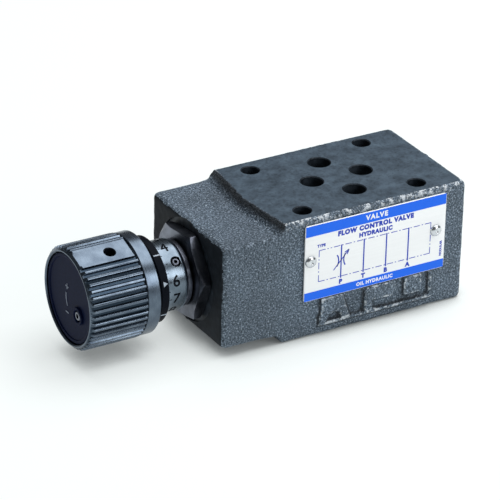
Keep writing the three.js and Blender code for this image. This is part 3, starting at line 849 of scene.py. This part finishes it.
capForm = {
    "front": -90.6,
    "rimWidth": 1.1,
    "recess": 0.35,
    "bossRadius": 2.8,
    "bossFront": -91.0,
    "screwHoleRadius": 1.8,
    "markHeight": 0.12,
    "marks": [(1.7, 3.2, 1.8, 0.4), (1.7, 3.2, 0.4, 1.8), (1.7, -5.4, 1.8, 0.4)],   # y, z, width, height
    "arc": {"centreY": -3.2, "radius": 5.6, "width": 0.4, "from": -34, "to": 10, "steps": 12},
}


def makeCap():
    # moulded cap pressed into the knob's front, with a raised boss round its screw and
    # small raised turning marks
    c = capForm
    front, back = c["front"], capHigh.x / mm
    radius = capHigh.z / mm - axisHeight / mm
    floor = front + c["recess"]
    inner = radius - c["rimWidth"]
    disc = turned([(back, 0), (back, radius), (front + 0.35, radius), (front + 0.1, radius - 0.12),
                   (front, radius - 0.35), (front, inner + 0.25), (front + 0.1, inner + 0.05),
                   (floor, inner - 0.1), (floor, 0)], 120)
    at = Vector((0, capScrewAt.y, capScrewAt.z))
    bossFront, hole = c["bossFront"], c["screwHoleRadius"]
    boss = turned([(back - 0.3, 0), (back - 0.3, c["bossRadius"]), (bossFront + 0.2, c["bossRadius"]),
                   (bossFront, c["bossRadius"] - 0.2), (bossFront, 0)], 48, at)
    cap = carve(disc, boss, 0, "UNION")
    screwHole = turned([(bossFront - 2, 0), (bossFront - 2, hole + 0.3), (bossFront, hole + 0.3),
                        (bossFront + 0.3, hole), (bossFront + 3, hole), (bossFront + 3, 0)], 40, at)
    cap = carve(cap, screwHole, 0)
    pieceFrom("knobFrontCap", cap, ["capPlastic"], "knob", ["knob_cap"], 30)
    marks = bmesh.new()
    for y, z, wide, tall in c["marks"]:
        middle = axisHeight / mm + z
        merge(marks, block((floor - c["markHeight"], y - wide / 2, middle - tall / 2),
                           (floor + 0.05, y + wide / 2, middle + tall / 2)))
    merge(marks, arcStroke(c["arc"], floor))
    pieceFrom("capTurningMarks", marks, ["capMark"], "knob")


def arcStroke(arc, floor):
    # a raised arc on the cap: a short section spun round, then closed at both ends
    bm = bmesh.new()
    low, high = floor - capForm["markHeight"], floor + 0.05
    inner, outer = arc["radius"] - arc["width"] / 2, arc["radius"] + arc["width"] / 2
    section = bm.faces.new([bm.verts.new((x * mm, r * mm, 0))
                            for x, r in ((low, inner), (low, outer), (high, outer), (high, inner))])
    turn = Matrix.Rotation(math.radians(arc["from"]), 3, "X")
    bmesh.ops.rotate(bm, verts=bm.verts, cent=(0, 0, 0), matrix=turn)
    bmesh.ops.spin(bm, geom=[section], cent=(0, 0, 0), axis=(1, 0, 0), steps=arc["steps"],
                   angle=math.radians(arc["to"] - arc["from"]))
    bmesh.ops.translate(bm, vec=(0, arc["centreY"] * mm, axisHeight), verts=bm.verts)
    bmesh.ops.recalc_face_normals(bm, faces=bm.faces)
    return bm


makeCap()


def socketScrew(name, node, body, radius, low, high, origin, direction, slot="bright_steel"):
    # grub screw: chamfered ends and a hexagon socket in the outer end, low and high in mm; the socket's
    # walls get the near-black ink as painted shade
    screw = turned([(low, 0), (low, radius - 0.3), (low + 0.3, radius), (high - 0.25, radius),
                    (high, radius - 0.25), (high, 0)], 32, Vector((0, 0, 0)))
    socket = hexPrism(radius * 0.55, high - (high - low) * 0.4, high + 1, 0, Vector((0, 0, 0)))
    screw = carve(screw, socket, 1)
    turn = direction.to_track_quat("X", "Z").to_matrix().to_4x4()
    bmesh.ops.transform(screw, matrix=Matrix.Translation(origin) @ turn, verts=screw.verts)
    pieceFrom(name, screw, ["blackOxide", "inkAndHoleShade"], body, [node], 30)


screwForm = {
    "knobSet": (1.4, 4.3, 12.5),     # radius, inner end and outer end along its own axis
    "cap": (1.5, 86.3, 90.8),
    "barrelGrub": (1.2, 8.7, 10.8),
}


def makeScrews():
    padOut = (radial(knobForm["padAngle"], 1) - axisPoint).normalized()
    socketScrew("knobSetScrew", "knob_set_screw", "knob", *screwForm["knobSet"],
                Vector((knobForm["screwX"] * mm, 0, axisHeight)), padOut)
    socketScrew("capScrew", "cap_screw", "knob", *screwForm["cap"],
                Vector((0, capScrewAt.y, capScrewAt.z)), -alongX)


makeScrews()

bandForm = {
    "wall": 0.8,
    "lineAngles": [32, 118],
    "pointerAngles": [71],
    "pointerRadius": 0.95,
    "markDepth": 0.04,       # paint standing on the band
}


def makeIndexBand():
    # snap-on ring behind the knob, with painted pointers that read against the barrel
    b = bandForm
    low, high = ringLow.x / mm, ringHigh.x / mm
    outer = ringHigh.z / mm - axisHeight / mm
    inner = outer - b["wall"]
    band = turned([(low, inner), (low, outer - 0.25), (low + 0.2, outer), (high - 0.3, outer),
                   (high, outer - 0.3), (high, inner)], 144)
    pieceFrom("indexBand", band, ["bandPlastic"], "knob", ["index_ring"], 30)
    marks = bmesh.new()
    middle = (low + high) / 2
    for degrees in b["lineAngles"]:
        tick = block((-1.0, -0.2, -0.05), (1.0, 0.2, b["markDepth"]))
        merge(marks, wrapped(tick, middle + 0.1, degrees, outer, 0.2))
    for degrees in b["pointerAngles"]:
        bm = bmesh.new()
        bmesh.ops.create_cone(bm, cap_ends=True, segments=3, radius1=b["pointerRadius"] * mm,
                              radius2=b["pointerRadius"] * mm, depth=(b["markDepth"] + 0.05) * mm)
        bmesh.ops.rotate(bm, verts=bm.verts, cent=(0, 0, 0),
                         matrix=Matrix.Rotation(-math.pi / 2, 3, "Z"))
        merge(marks, wrapped(bm, middle, degrees, outer, 0.3))
    pieceFrom("indexBandMarks", marks, ["mark"], "knob")


makeIndexBand()

barrelForm = {
    "bore": 8.7,
    "edge": 0.3,
    "grooveX": -57.9,       # shallow ring near the nut end
    "digitX": -60.2,
    "digitHeight": 3.4,
    "digitDepth": 0.18,
    "turnSpacing": 30,      # degrees between neighbouring numbers
    "firstAngle": -106,
    "screwX": -58.8,
    "screwAngle": 43,
    "screwHoleRadius": 1.5,
    "lineX": -63.4,
}


def makeBarrel():
    # anodised scale barrel with engraved, ink-filled numbers and division lines; the grub screw's hole gets
    # the same near-black ink as painted shade
    b = barrelForm
    low, high = barrelLow.x / mm, barrelHigh.x / mm
    outer = barrelHigh.z / mm - axisHeight / mm
    barrel = turned([
        (low, b["bore"]), (low, outer - b["edge"]), (low + b["edge"], outer),
        (b["lineX"] - 0.15, outer), (b["lineX"], outer - 0.15), (b["lineX"] + 0.15, outer),
        (b["grooveX"] + 0.5, outer), (b["grooveX"] + 0.7, outer - 0.25),
        (b["grooveX"] + 0.95, outer - 0.25), (b["grooveX"] + 1.1, outer),
        (high - b["edge"], outer), (high, outer - b["edge"]), (high, b["bore"])], 180)
    outward = (radial(b["screwAngle"], 1) - axisPoint).normalized()
    hole = turned([(6, 0), (6, b["screwHoleRadius"]), (outer - 0.35, b["screwHoleRadius"]),
                   (outer + 0.1, b["screwHoleRadius"] + 0.35), (outer + 2, b["screwHoleRadius"] + 0.35),
                   (outer + 2, 0)], 32, Vector((b["screwX"] * mm, 0, axisHeight)), outward)
    barrel = carve(barrel, hole, 1)
    engraving = bmesh.new()
    depth = b["digitDepth"]
    for number in range(10):
        degrees = b["firstAngle"] + number * b["turnSpacing"]
        if abs(degrees - b["screwAngle"]) > 5:      # the grub screw takes one number's place
            digit = lettering(str(number), b["digitHeight"], depth + 0.2, 0.1)
            merge(engraving, wrapped(digit, b["digitX"], degrees, outer - depth))
        line = block((-0.7, -0.14, 0), (0.7, 0.14, depth + 0.2))
        merge(engraving, wrapped(line, b["lineX"] + 1.0, degrees, outer - depth, 0.2))
    for half in range(20):
        degrees = b["firstAngle"] + b["turnSpacing"] / 2 + half * b["turnSpacing"] / 2
        line = block((-0.4, -0.1, 0), (0.4, 0.1, depth + 0.2))
        merge(engraving, wrapped(line, b["lineX"] + 0.7, degrees, outer - depth, 0.2))
    barrel = carve(barrel, engraving, 2)
    pieceFrom("scaleBarrel", barrel, ["barrel", "inkAndHoleShade", "inkAndHoleShade"], "valve_body",
              ["scale_barrel"], 30)
    socketScrew("barrelGrubScrew", "barrel_grub_screw", "valve_body", *screwForm["barrelGrub"],
                Vector((b["screwX"] * mm, 0, axisHeight)), outward)
    lockLow, lockHigh = (corner.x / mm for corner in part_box("barrel_lock_ring"))
    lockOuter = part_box("barrel_lock_ring")[1].z / mm - axisHeight / mm
    lock = turned([(lockLow, b["bore"]), (lockLow, lockOuter - 0.3), (lockLow + 0.3, lockOuter),
                   (lockHigh - 0.3, lockOuter), (lockHigh, lockOuter - 0.3), (lockHigh, b["bore"])], 120)
    pieceFrom("barrelLockRing", lock, ["blackOxide"], "valve_body",
              ["barrel_lock_ring"], 30)


makeBarrel()
print("barrel, index band and screws done")

glandForm = {
    "cornerRadius": 15.2,
    "hexTurn": 23.5,
    "frontBevel": (1.7, 0.8),
    "rearBevel": (1.2, 0.6),
    "hexFront": -54.1,
    "hexRear": -50.6,
    "neckRadius": 8.4,
    "undercutRadius": 8.7,
    "undercutLength": 2.2,
    "shankRadius": 10.5,
    "threadBoreRadius": 5.2,
    "threadBoreEnd": -45.9,
    "boreRadius": 4.5,
    "sealGroove": (-43.4, -40.2),
    "sealGrooveRadius": 6.2,
}


def makeGland():
    # black-oxide gland nut: double-chamfered hexagon, neck for the barrel and screwed shank
    g = glandForm
    front, rear = g["hexFront"], g["hexRear"]
    corner, (cut, run), (backCut, backRun) = g["cornerRadius"], g["frontBevel"], g["rearBevel"]
    disc = turned([(front, 0), (front, corner - cut), (front + run, corner), (rear - backRun, corner),
                   (rear, corner - backCut), (rear, 0)], 144)
    nut = carve(disc, hexPrism(corner + 0.02, front - 1, rear + 1, g["hexTurn"]), 0, "INTERSECT")
    low, high = glandLow.x / mm, glandHigh.x / mm
    shank = turned([(low, 0), (low, g["neckRadius"] - 0.4), (low + 0.4, g["neckRadius"]),
                    (rear - 0.5, g["neckRadius"]), (rear - 0.5, g["undercutRadius"]),
                    (rear + g["undercutLength"], g["undercutRadius"]),
                    (rear + g["undercutLength"] + 0.4, g["shankRadius"]), (high - 0.6, g["shankRadius"]),
                    (high, g["shankRadius"] - 0.6), (high, 0)], 96)
    nut = carve(nut, shank, 0, "UNION")
    thread, threadEnd, plain = g["threadBoreRadius"], g["threadBoreEnd"], g["boreRadius"]
    grooveLow, grooveHigh = g["sealGroove"]
    bore = turned([(low - 1, 0), (low - 1, thread + 0.4), (low + 0.4, thread), (threadEnd, thread),
                   (threadEnd, plain), (grooveLow, plain), (grooveLow, g["sealGrooveRadius"]),
                   (grooveHigh, g["sealGrooveRadius"]), (grooveHigh, plain), (high + 1, plain),
                   (high + 1, 0)], 64)
    nut = carve(nut, bore, 1)
    pieceFrom("glandNut", nut, ["blackOxide", "bored"], "valve_body",
              ["hex_gland"], 22)


makeGland()
print("gland done")

plateForm = {
    "cornerRadius": 0.7,
    "pinHoleRadius": 1.2,
    "pinShankRadius": 0.9,
    "pinHeadRadius": 1.9,
    "border": 0.12,
    "topBand": 3.5,
    "bottomBand": 2.8,
    "ink": 0.03,
    "portLines": {"P": -10.5, "T": -2.5, "B": 5.5, "A": 13.4},
    "portLetter": 1.4,       # letter height, and how far below the line its middle is
    "portLetterDrop": 1.25,
    "lineFoot": 18.2,
    "lineWidth": 0.45,
    "frame": (-18.35, 21.4, 18.8, 29.3),   # left, right, bottom, top of the dash-dot box
    "symbolHeight": 24.3,
    # words, letter height, place along and up, boldness, letter spacing, turn
    "darkWords": [("FLOW CONTROL VALVE", 1.45, 1.5, 33.3, 0.16, 1.22, 0),
                  ("HYDRAULIC", 1.35, 1.5, 31.0, 0.13, 1.15, 0),
                  ("TYPE", 0.9, -17.6, 30.8, 0.06, 1.0, 0),
                  ("MODULAR", 0.75, 25.4, 19.6, 0.05, 1.0, 90)],
    # words, letter height, boldness, letter spacing
    "whiteWords": {"top": ("VALVE", 1.6, 0.1, 1.25),
                   "bottom": ("OIL HYDRAULIC", 1.1, 0.07, 1.15)},
}


def inkBlock(x0, x1, z0, z1, layer=1):
    # a printed rectangle, which stands on the plate's front by its ink's thickness
    front = plateLow.y / mm
    return block((x0, front - plateForm["ink"] * layer, z0), (x1, front + 0.02, z1))


def inkWords(words, height, x, z, bold=0.0, gap=1.0, turn=0, layer=1):
    bm = lettering(words, height, plateForm["ink"] * layer + 0.02, bold, gap)
    faceOut = Matrix.Rotation(math.pi / 2, 4, "X") @ Matrix.Rotation(math.radians(turn), 4, "Z")
    place = Matrix.Translation(Vector((x * mm, plateLow.y + 0.02 * mm, z * mm)))
    bmesh.ops.transform(bm, matrix=place @ faceOut, verts=bm.verts)
    return bm


def inkStroke(x0, z0, x1, z1, width):
    # a straight printed line between two places on the plate
    length = math.hypot(x1 - x0, z1 - z0)
    bm = inkBlock(-length / 2, length / 2, -width / 2, width / 2)
    turn = Matrix.Rotation(-math.atan2(z1 - z0, x1 - x0), 4, "Y")
    middle = Matrix.Translation(Vector(((x0 + x1) / 2, 0, (z0 + z1) / 2)) * mm)
    bmesh.ops.transform(bm, matrix=middle @ turn, verts=bm.verts)
    return bm


dashLine = {
    "dash": 2.2,
    "dot": 0.45,
    "gap": 0.7,
    "dotClear": 0.3,         # least gap between a dot and the stretch at the corner
    "shortest": 0.5,         # a dash shorter than this is left out
    "width": 0.24,
}


def dashDots(x0, z0, x1, z1):
    # dash, dot, dash along one side of the box, with solid stretches at both corners
    d = dashLine
    length = math.hypot(x1 - x0, z1 - z0)
    dash, pitch = d["dash"], d["dash"] + d["gap"]
    strokes, along = [(0, dash), (length - dash, length)], pitch
    while along < length - pitch:
        strokes += [(along, min(along + d["dot"], length - dash - d["dotClear"]))]
        along += d["dot"] + d["gap"]
        if along < length - pitch - d["shortest"]:
            strokes += [(along, min(along + dash, length - pitch))]
            along += pitch
    way = Vector((x1 - x0, z1 - z0)) / length
    return [inkStroke(x0 + way.x * a, z0 + way.y * a, x0 + way.x * b, z0 + way.y * b, d["width"])
            for a, b in strokes]


symbolForm = {
    "arcCentre": 3.1,        # from the line, to each side
    "arcWide": 2.2,
    "arcTall": 2.9,
    "arcHalfAngle": 42,
    "arcSteps": 8,
    "arcWidth": 0.42,
    "arrowTail": (-2.6, -2.9),
    "arrowTip": (2.7, 3.0),
    "arrowBarbs": [(-1.5, -0.7), (-0.6, -1.5)],
    "arrowWidth": 0.32,
}


def throttleSymbol(x, z):
    # two arcs facing away from each other across the line, and a slanting arrow
    f = symbolForm
    strokes = []
    for side in (-1, 1):
        last = None
        for step in range(f["arcSteps"] + 1):
            angle = math.radians(f["arcHalfAngle"] * (2 * step / f["arcSteps"] - 1))
            here = (x + side * (f["arcCentre"] - f["arcWide"] * math.cos(angle)),
                    z + f["arcTall"] * math.sin(angle))
            if last:
                strokes.append(inkStroke(*last, *here, f["arcWidth"]))
            last = here
    tip = (x + f["arrowTip"][0], z + f["arrowTip"][1])
    tail = (x + f["arrowTail"][0], z + f["arrowTail"][1])
    strokes.append(inkStroke(*tail, *tip, f["arrowWidth"]))
    for along, up in f["arrowBarbs"]:
        strokes.append(inkStroke(*tip, tip[0] + along, tip[1] + up, f["arrowWidth"]))
    return strokes


def makeNameplate():
    # anodised sheet plate with a baked blue print and its two drive pins
    p = plateForm
    left, right = plateLow.x / mm, plateHigh.x / mm
    bottom, top = plateLow.z / mm, plateHigh.z / mm
    sheet = block((left, plateLow.y / mm, bottom), (right, plateHigh.y / mm, top))
    corners = [e for e in sheet.edges if abs(e.verts[0].co.y - e.verts[1].co.y) > 0.1 * mm]
    bmesh.ops.bevel(sheet, geom=corners, offset=p["cornerRadius"] * mm, offset_type="OFFSET",
                    segments=5, profile=0.5, affect="EDGES", material=-1, clamp_overlap=True)
    easeEdges(sheet, 0.06 * mm, 60)
    holes = bmesh.new()
    for side in ("left", "right"):
        low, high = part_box(f"nameplate_pin_{side}")
        middle = (low + high) / 2
        at = Vector((middle.x, 0, middle.z))
        depth = (plateLow.y / mm - 1, plateHigh.y / mm + 1)
        merge(holes, turned([(depth[0], 0), (depth[0], p["pinHoleRadius"]),
                             (depth[1], p["pinHoleRadius"]), (depth[1], 0)], 32, at, Vector((0, 1, 0))))
        seat = -plateLow.y / mm + 0.02
        shank, head = p["pinShankRadius"], p["pinHeadRadius"]
        dome = turned([(seat - 3.5, 0), (seat - 3.5, shank - 0.15), (seat - 3.2, shank), (seat, shank),
                       (seat, head - 0.02), (seat + 0.25, head), (seat + 0.65, 1.68), (seat + 0.95, 1.2),
                       (seat + 1.08, 0.75), (seat + 1.0, 0.5), (seat + 0.72, 0.3), (seat + 0.7, 0)],
                      48, at, Vector((0, -1, 0)))
        pieceFrom(f"drivePin{side.capitalize()}", dome, ["steel"], "valve_body",
                  [f"nameplate_pin_{side}"], 40)
    pieceFrom("nameplateSheet", carve(sheet, holes, 0), ["plateSilver"], "valve_body",
              ["nameplate"], 30)
    inner = (left + p["border"], right - p["border"], bottom + p["border"], top - p["border"])
    middleX = (left + right) / 2
    blue = merge(inkBlock(inner[0], inner[1], inner[3] - p["topBand"], inner[3]),
                 inkBlock(inner[0], inner[1], inner[2], inner[2] + p["bottomBand"]))
    pieceFrom("platePrintBlue", blue, ["printBlue"], "valve_body")
    x0, x1, z0, z1 = p["frame"]
    lines = merge(*[inkWords(*words) for words in p["darkWords"]])
    for letter, x in p["portLines"].items():
        merge(lines, inkWords(letter, p["portLetter"], x, p["lineFoot"] - p["portLetterDrop"], 0.14))
    for side in ((x0, z0, x1, z0), (x1, z0, x1, z1), (x1, z1, x0, z1), (x0, z1, x0, z0)):
        merge(lines, *dashDots(*side))
    for letter, x in p["portLines"].items():
        half = p["lineWidth"] / 2
        merge(lines, inkBlock(x - half, x + half, p["lineFoot"], z1 + 0.2))
    merge(lines, *throttleSymbol(p["portLines"]["P"], p["symbolHeight"]))
    pieceFrom("platePrintLines", lines, ["printLine"], "valve_body")
    bandMiddle = {"top": inner[3] - p["topBand"] / 2, "bottom": inner[2] + p["bottomBand"] / 2}
    white = bmesh.new()
    for band, (words, height, bold, gap) in p["whiteWords"].items():
        merge(white, inkWords(words, height, middleX, bandMiddle[band], bold, gap, layer=2))
    pieceFrom("platePrintWhite", white, ["printWhite"], "valve_body")


makeNameplate()
print("nameplate done")


sealForm = {
    "sectionSteps": 20,
    "portRadius": 5.0,
    "portHalfHeight": 0.8,
    "halfHeights": {"gland_o_ring": 0.75, "stem_o_ring": 0.7,
                    "sleeve_o_ring_rear": 0.45, "sleeve_o_ring_front": 0.45},
}


def sealPiece(name, node, section, origin, direction):
    # a seal ring of rounded section: [along, radius, half width, half height] in mm
    along, radius, halfWide, halfTall = section
    step = 2 * math.pi / sealForm["sectionSteps"]
    profile = [(along + halfWide * math.cos(i * step), radius + halfTall * math.sin(i * step))
               for i in range(sealForm["sectionSteps"])]
    pieceFrom(name, turned(profile, 96, origin, direction), ["sealRubber"], "valve_body",
              [node], 60)


def makeSeals():
    for name, at in ports.items():
        low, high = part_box(f"port_{name}_o_ring")
        middle = (high.z + low.z) / 2 / mm
        section = (middle, sealForm["portRadius"], middle, sealForm["portHalfHeight"])
        sealPiece(f"port{name.upper()}Seal", f"port_{name}_o_ring", section,
                  Vector((at.x, at.y, 0)), Vector((0, 0, 1)))
    for name, node in (("glandSeal", "gland_o_ring"), ("stemSeal", "stem_o_ring"),
                       ("sleeveSealRear", "sleeve_o_ring_rear"), ("sleeveSealFront", "sleeve_o_ring_front")):
        low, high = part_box(node)
        outer = (high.z - axisHeight) / mm
        wide = (high.x - low.x) / 2 / mm
        tall = sealForm["halfHeights"][node]
        sealPiece(name, node, ((low.x + high.x) / 2 / mm, outer - tall, wide, tall), axisPoint, alongX)


makeSeals()


stemForm = {
    "journalRadius": 4,       # carries the knob
    "threadFrom": -70,
    "threadRadius": 4.9,
    "threadTo": -52,
    "plainRadius": 4.2,
}
spoolForm = {
    "headRadius": 5.2,        # the spring pushes on its back
    "headBack": -31,
    "rodRadius": 2.2,
    "landFrom": -16,
    "landRadius": 3.4,
    "landTo": -8.2,
    "needleRadius": 2.4,
    "taperFrom": -4,
    "tipRadius": 0.95,
}


def makeInnards():
    # the turned pieces inside the bore, which show when the valve is taken apart
    t, low, high = stemForm, stemLow.x / mm, stemHigh.x / mm
    stem = turned([
        (low, 0), (low, t["journalRadius"] - 0.3), (low + 0.3, t["journalRadius"]),
        (t["threadFrom"], t["journalRadius"]), (t["threadFrom"] + 0.4, t["threadRadius"]),
        (t["threadTo"] - 0.4, t["threadRadius"]), (t["threadTo"], t["plainRadius"]),
        (high - 0.4, t["plainRadius"]), (high, t["plainRadius"] - 0.4), (high, 0)], 72)
    pieceFrom("adjustingStem", stem, ["steel"], "knob", ["adjusting_stem"], 30)
    n = spoolForm
    low, high = (corner.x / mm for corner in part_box("throttle_spool"))
    spool = turned([
        (low, 0), (low, n["headRadius"] - 0.3), (low + 0.3, n["headRadius"]),
        (n["headBack"] - 0.2, n["headRadius"]), (n["headBack"], n["headRadius"] - 0.2),
        (n["headBack"], n["rodRadius"]), (n["landFrom"], n["rodRadius"]),
        (n["landFrom"], n["landRadius"] - 0.2), (n["landFrom"] + 0.2, n["landRadius"]),
        (n["landTo"] - 0.2, n["landRadius"]), (n["landTo"], n["landRadius"] - 0.2),
        (n["landTo"], n["needleRadius"]), (n["taperFrom"], n["needleRadius"]),
        (high - 0.1, n["tipRadius"]), (high, n["tipRadius"] - 0.15), (high, 0)], 72)
    pieceFrom("throttleSpool", spool, ["steel"], "spool", ["throttle_spool"], 30)
    for node, coat in (("throttle_sleeve", "steel"), ("return_spring", "springSteel"),
                       ("stem_stop_ring", "springSteel"), ("stem_backup_ring", "capPlastic")):
        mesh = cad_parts[node].data
        mesh.materials.clear()
        mesh.materials.append(materials[coat])


makeInnards()
print("seals and inner pieces done")


stage = {
    "floorSize": 4.0,
    "floorGap": 0.02 * mm,
    "azimuth": -30.66,
    "elevation": 27.37,
    "roll": 1.27,
    "lens": 222.3,
    "distance": 0.96,
    "aim": Vector((9.4, 17.85, -8.45)) * mm,   # from the middle of the CAD box
    "contactReach": 9 * mm,                    # how far from the valve its contact shade fades out
    "worldLight": 0.15,
}
softboxes = {     # direction, distance, size, power
    "overhead": ((0.33, 0.06, 0.94), 1.3, (1.45, 1.45), 21),
    "frontRight": ((0.45, -0.78, 0.43), 1.2, (0.6, 0.5), 5),
}


def makeStage():
    bm = bmesh.new()
    bmesh.ops.create_grid(bm, x_segments=1, y_segments=1, size=stage["floorSize"] / 2)
    bmesh.ops.translate(bm, vec=(0, 0, bodyLow.z - stage["floorGap"]), verts=bm.verts)
    mesh = bpy.data.meshes.new("floor")
    bm.to_mesh(mesh)
    bm.free()
    material, tree, shader = newMaterial("palePaperWithPaintedGlow", roughness=0.9)[:3]
    shader.inputs["Base Color"].default_value = linear("#a4a8a8")
    # the floor glows: painted light that brightens its shadows and lights the valve from below; ambient
    # occlusion dims the glow next to the valve into a painted contact shadow
    shader.inputs["Emission Color"].default_value = linear("#f3f8f7")
    shade = addNode(tree, "ShaderNodeAmbientOcclusion", {"samples": 8}, {
        "Distance": stage["contactReach"]})
    glow = addNode(tree, "ShaderNodeMapRange", {}, {
        "Value": shade.outputs["AO"], "From Min": 0.3, "From Max": 0.8,
        "To Min": 0.08, "To Max": 0.66})
    tree.links.new(glow.outputs["Result"], shader.inputs["Emission Strength"])
    mesh.materials.append(material)
    floor = bpy.data.objects.new("floor", mesh)
    bpy.context.scene.collection.objects.link(floor)
    world = bpy.data.worlds.new("studio")
    world.use_nodes = True
    world.node_tree.nodes["Background"].inputs["Color"].default_value = linear("#e9eef2")
    world.node_tree.nodes["Background"].inputs["Strength"].default_value = stage["worldLight"]
    bpy.context.scene.world = world


def softbox(name, direction, distance, size, power):
    light = bpy.data.lights.new(name, "AREA")
    light.shape = "RECTANGLE"
    light.size, light.size_y = size
    light.energy = power
    lamp = bpy.data.objects.new(name, light)
    away = Vector(direction).normalized()
    lamp.location = (cadLow + cadHigh) / 2 + away * distance
    lamp.rotation_mode = "QUATERNION"
    lamp.rotation_quaternion = away.to_track_quat("Z", "Y")
    bpy.context.scene.collection.objects.link(lamp)


def makeCamera():
    azimuth, elevation = math.radians(stage["azimuth"]), math.radians(stage["elevation"])
    roll = math.radians(stage["roll"])
    back = Vector((math.sin(azimuth) * math.cos(elevation),
                   -math.cos(azimuth) * math.cos(elevation), math.sin(elevation)))
    level = Vector((math.cos(azimuth), math.sin(azimuth), 0))
    right = level * math.cos(roll) + back.cross(level) * math.sin(roll)
    up = back.cross(right)
    data = bpy.data.cameras.new("camera")
    data.lens = stage["lens"]
    data.sensor_width = 36
    data.clip_start, data.clip_end = 0.05, 20
    camera = bpy.data.objects.new("camera", data)
    turn = Matrix((right, up, back)).transposed().to_4x4()
    aim = (cadLow + cadHigh) / 2 + stage["aim"]
    camera.matrix_world = Matrix.Translation(aim + back * stage["distance"]) @ turn
    bpy.context.scene.collection.objects.link(camera)
    bpy.context.scene.camera = camera


makeStage()
for name, setting in softboxes.items():
    softbox(name, *setting)
makeCamera()
bpy.context.scene.view_settings.view_transform = "Standard"
print("stage, lights and camera ready")
